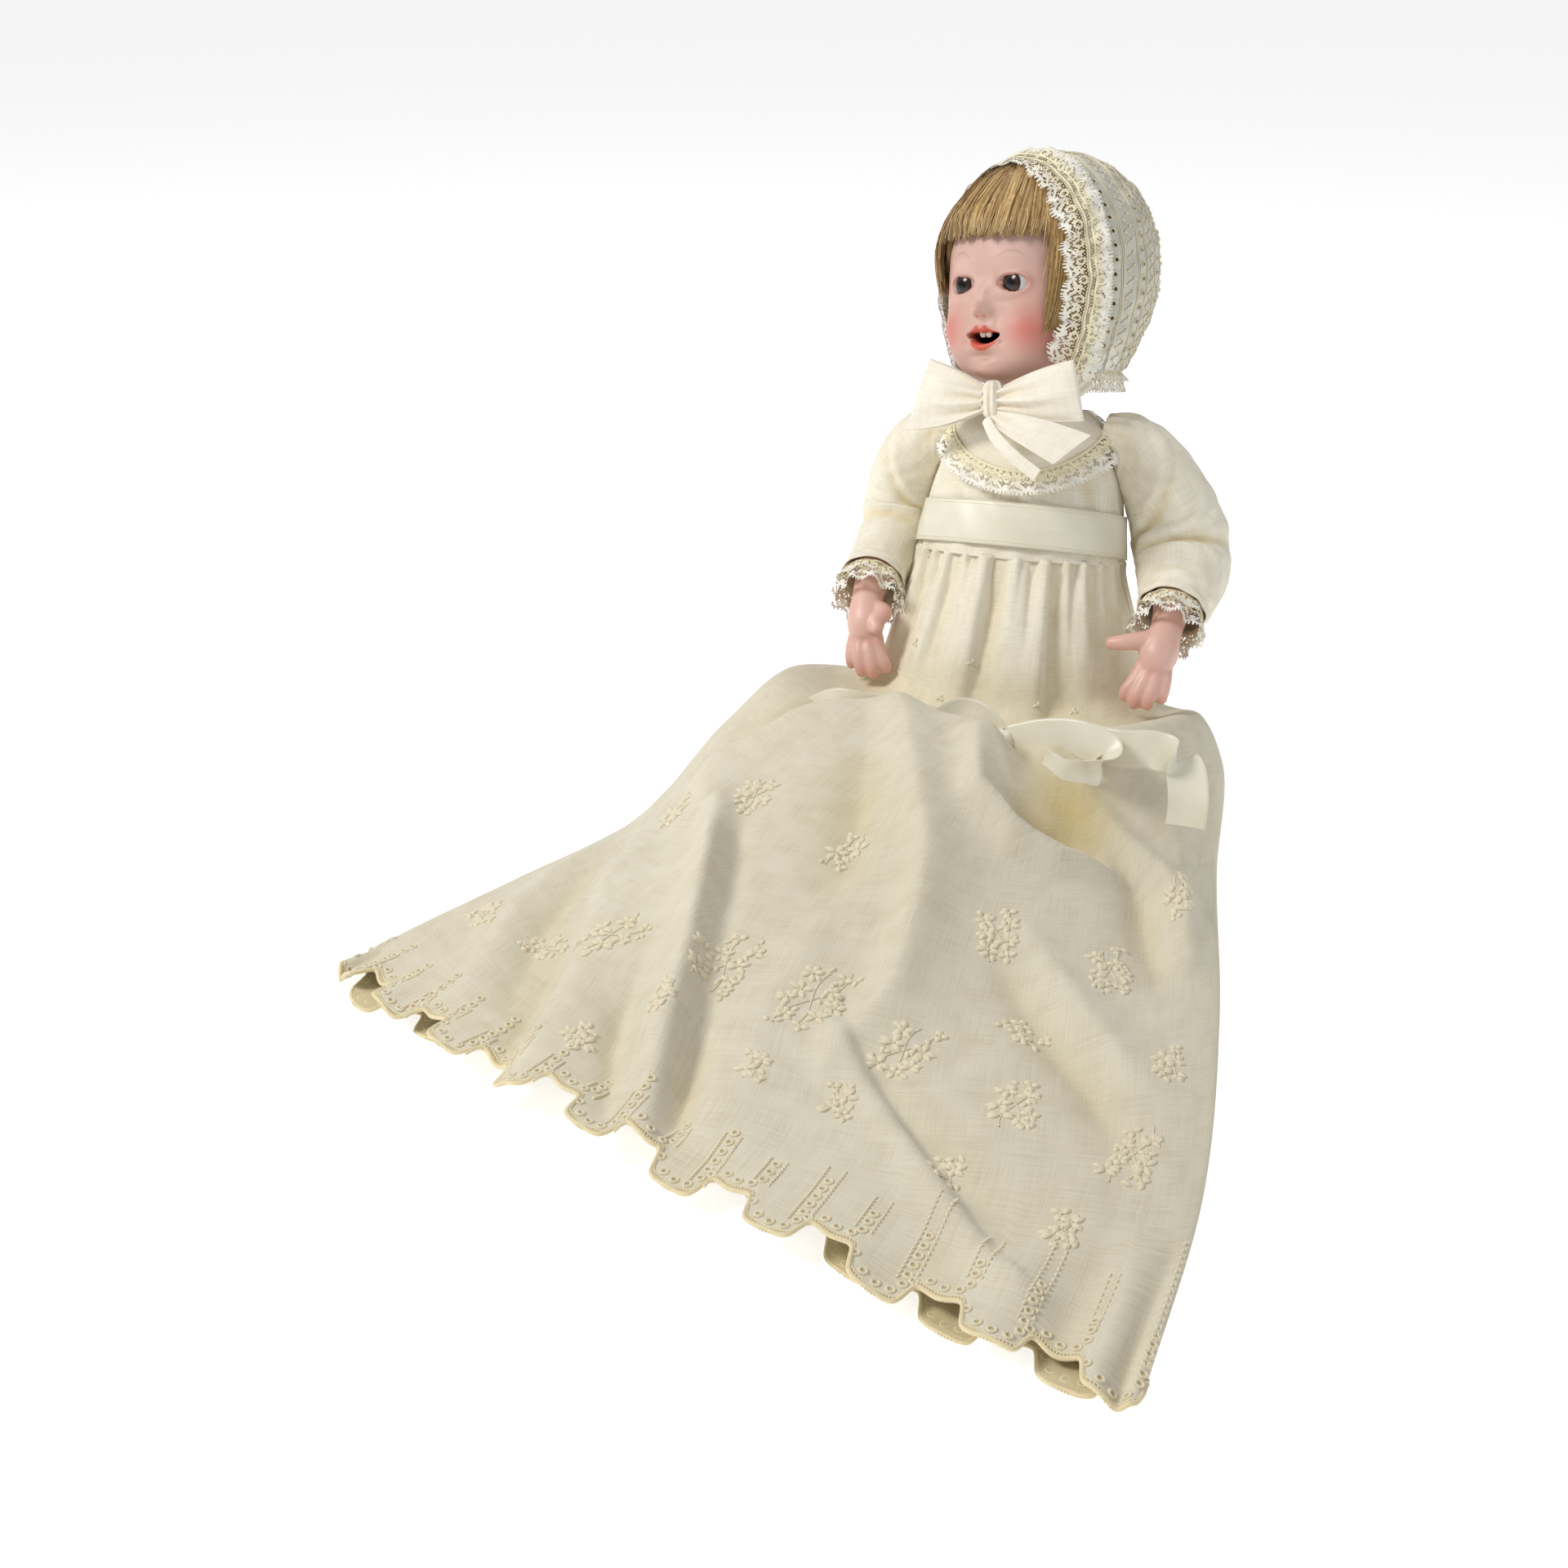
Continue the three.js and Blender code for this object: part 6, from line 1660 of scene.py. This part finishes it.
def make_chin_bow():
    left = piece("chin_loop_left", bow_loop(1, (36, 15.5), (41, -8.5), 0.16, 0.4), HEAD, BOW_LAWN, "head",
                 ["chin_bow_loop_left"])
    declare(left)
    right = piece("chin_loop_right", bow_loop(-1, (29, 17), (39, -12), -0.2, 1.7), HEAD, BOW_LAWN, "head",
                  ["chin_bow_loop_right"])
    declare(right)
    # the knot: a band wrapped round, with folds that run over it
    turn, t = np.meshgrid(np.linspace(0, TAU, 97)[:-1], np.linspace(0.03, np.pi - 0.03, 60))
    fold = 1 + 0.09 * np.cos(turn * 7 + 0.8 * np.cos(t)) + 0.04 * np.cos(turn * 13 + 1)
    body = np.sin(t) ** 0.55
    knot = np.stack([4.7 * body * fold * np.cos(turn), 4.6 * body * fold * np.sin(turn), 8.0 * np.cos(t)],
                    axis=-1)
    # painted shade in the valleys of the knot's folds; dark is highest on the ridges, which keep the full
    # colour
    dark = (0.5 - 0.5 * np.cos(turn * 7 + 0.8 * np.cos(t) + np.pi))[..., None]
    knot_sheet = Sheet(knot + KNOT, grid_quads(*turn.shape, True),
                       0.9 + 0.1 * dark * np.ones(3) - (1 - dark) * [0, 0.03, 0.1],
                       np.stack([turn * 5, t * 8], axis=-1))
    made = piece("chin_knot", knot_sheet, HEAD, BOW_LAWN, "head", ["chin_bow_knot"])
    # the wide tail hangs between two edges, and a narrow folded strip lies over the lower one
    t, w = np.meshgrid(np.linspace(0, 1, 110), np.linspace(0, 1, 50))
    top = smooth([(8, -41, -3.5), (22, -44, -5), (38, -43, -8.5), (53, -39, -13.5)], t)
    low = smooth([(4, -42, -7), (14, -46, -12), (27, -48, -18), (40, -46, -25)], t)
    cloth = top * w[..., None] + low * (1 - w[..., None])
    belly = 1.6 * np.sin(np.pi * w) * np.sin(np.pi * np.clip(t * 0.8 + 0.1, 0, 1))
    cloth[..., 1] -= belly - 0.7 * np.sin(w * 11 + t * 2) * (1 - t)
    # painted shade on the tail next to the knot
    sheet = Sheet(cloth, grid_quads(*t.shape),
                  1 - 0.5 * bell(t, 0, 0.3)[..., None] * np.array([0.05, 0.1, 0.2]),
                  np.stack([t * 48, w * 26], axis=-1))
    hems = [tube(cloth[k], 0.38, 5)
            for k in (0, -1)] + [tube(cloth[:, -1], 0.38, 5), tube(cloth[:, -5], 0.22, 4)]
    upper = piece("chin_tail_upper", together([sheet.thick(BOW_THICKNESS)] + hems),
                  HEAD, BOW_LAWN, "head", ["chin_bow_tail_upper"])
    path = [(4, -43.5, -7), (12, -47.5, -14.5), (23, -49.5, -22.5), (34, -48.5, -30)]
    narrow = strip(path, [(1, 0, 0.6)] * 4, (4.0, 5.0, 5.2, 5.4), crown=0.7)
    lower = piece("chin_tail_lower", selvedged(narrow, 18, 120, BOW_THICKNESS, 0.34),
                  HEAD, BOW_LAWN, "head", ["chin_bow_tail_lower"])
    declare(upper)
    ties = {
        "left": [(35, -11.5, 10.5), (32, -20.5, 5), (26, -28.5, 2.2), (18, -33.5, 1.4), (9.5, -38, 2)],
        "right": [(-35, -11.5, 10.5), (-32, -20.5, 5), (-24, -30.5, 2), (-10, -36.5, 1.4), (1, -38, 2)],
    }
    for name, path in ties.items():
        side = 1 if name == "left" else -1
        band = strip(path, [(0.1 * side, -0.35, 1)] * len(path), (9, 9, 8.5, 8, 6.5), 100, 26, crown=0.9)
        ridges = np.sin(np.linspace(0, 1, 26) * 15)[:, None, None] * 0.5
        grid = band.points.reshape(26, 100, 3)
        band.points = (grid + unit(grid - [0, 0, 4]) * ridges).reshape(-1, 3)
        # painted shade in the troughs of the tie's ridges
        band.tint[:] = (1 - 0.5 * np.clip(-ridges * 2, 0, 1)
                        * np.array([0.06, 0.12, 0.24]) * np.ones((26, 100, 1))).reshape(-1, 3)
        made = piece(f"bonnet_tie_cloth_{name}",
                     selvedged(band, 26, 100, BOW_THICKNESS, 0.34), HEAD, BOW_LAWN, "head",
                     [f"bonnet_tie_{name}"])
        declare(made)


# Satin ribbons in the lap: each one's path, and the direction of its width at each point.
UPRIGHT, TIPPED, FLAT = (0, 0.25, 1), (0.5, 0.2, 0.85), (-0.9, 0.1, 0.3)
LAP_RIBBONS = {
    "lap_bow_loop_left": [((20, -84, 55), UPRIGHT),
                          ((34, -85, 60), UPRIGHT), ((50, -87, 62), UPRIGHT), ((61, -91, 59), TIPPED),
                          ((56, -97, 52), TIPPED), ((47, -100, 50), UPRIGHT), ((36, -98, 53), UPRIGHT)],
    "lap_bow_tail_left": [((22, -80, 54), UPRIGHT),
                          ((44, -78, 58), UPRIGHT), ((64, -84, 59), UPRIGHT), ((80, -84, 60), TIPPED),
                          ((91, -88, 57), FLAT), ((95, -95, 47), FLAT), ((95, -98, 35), FLAT)],
    "lap_bow_loop_right": [((16, -84, 54), UPRIGHT),
                           ((8, -80, 61), UPRIGHT), ((-2, -78, 62), UPRIGHT), ((-8, -80, 57), TIPPED),
                           ((-3, -84, 54), UPRIGHT), ((8, -85, 53), UPRIGHT)],
    "lap_bow_tail_right": [((14, -80, 54), UPRIGHT),
                           ((-12, -76, 56), UPRIGHT), ((-38, -76, 58), UPRIGHT), ((-56, -76, 59), TIPPED),
                           ((-72, -76, 50), TIPPED), ((-84, -78, 42), FLAT)],
}
LAP_KNOT = (18, -83, 55)


def make_lap_bow():
    for name, spots in LAP_RIBBONS.items():
        path, cross = np.array([place for place, _ in spots],
                               float), np.array([wide for _, wide in spots], float)
        band = strip(path, cross, 15.5, 150, 20, crown=0.7, wave=0.4)
        made = piece(f"{name}_satin", selvedged(band, 20, 150, 0.3, 0.22),
                     ROW, SATIN, "body", [name])
        length = np.linalg.norm(np.diff(smooth(path, np.linspace(0, 1, 60)), axis=0), axis=1).sum() / 1000
        declare(made)
    turn, t = np.meshgrid(np.linspace(0, TAU, 73)[:-1], np.linspace(0.05, np.pi - 0.05, 40))
    body = np.sin(t) ** 0.6 * (1 + 0.08 * np.cos(turn * 6))
    knot = np.stack([5.2 * body * np.cos(turn), 4.2 * body * np.sin(turn), 6.2 * np.cos(t)],
                    axis=-1) + LAP_KNOT
    made = piece("lap_knot_satin", Sheet(knot, grid_quads(*turn.shape, True)),
                 ROW, SATIN, "body", ["lap_bow_knot"])


FLOOR_HALF, FLOOR_GLOW = 6000, 0.62


def make_floor():
    finish = Finish("studio_floor", 0.8, 0.02, Emission_Color=(1, 1, 1, 1), Emission_Strength=FLOOR_GLOW)
    speck = finish.noise(finish.place(), 40, 2)
    finish.colour(finish.ramp(speck, (0.2, (0.80, 0.80, 0.80)), (0.8, (0.83, 0.83, 0.83))))
    finish.height(speck)
    half = FLOOR_HALF
    corners = Sheet([[-half, -half, 0], [half, -half, 0], [half, half, 0], [-half, half, 0]], [[0, 1, 2, 3]])
    piece("studio_floor", corners, ROW, finish.material)


make_skirt()
embroidery()
make_bodice()
make_waist_ribbon()
make_collar()
make_sleeves()
make_cuffs()
make_arms()
make_lap_bow()
make_head()
make_eyes()
make_teeth()
make_wig()
make_bonnet()
make_bonnet_lace()
make_chin_bow()
make_floor()
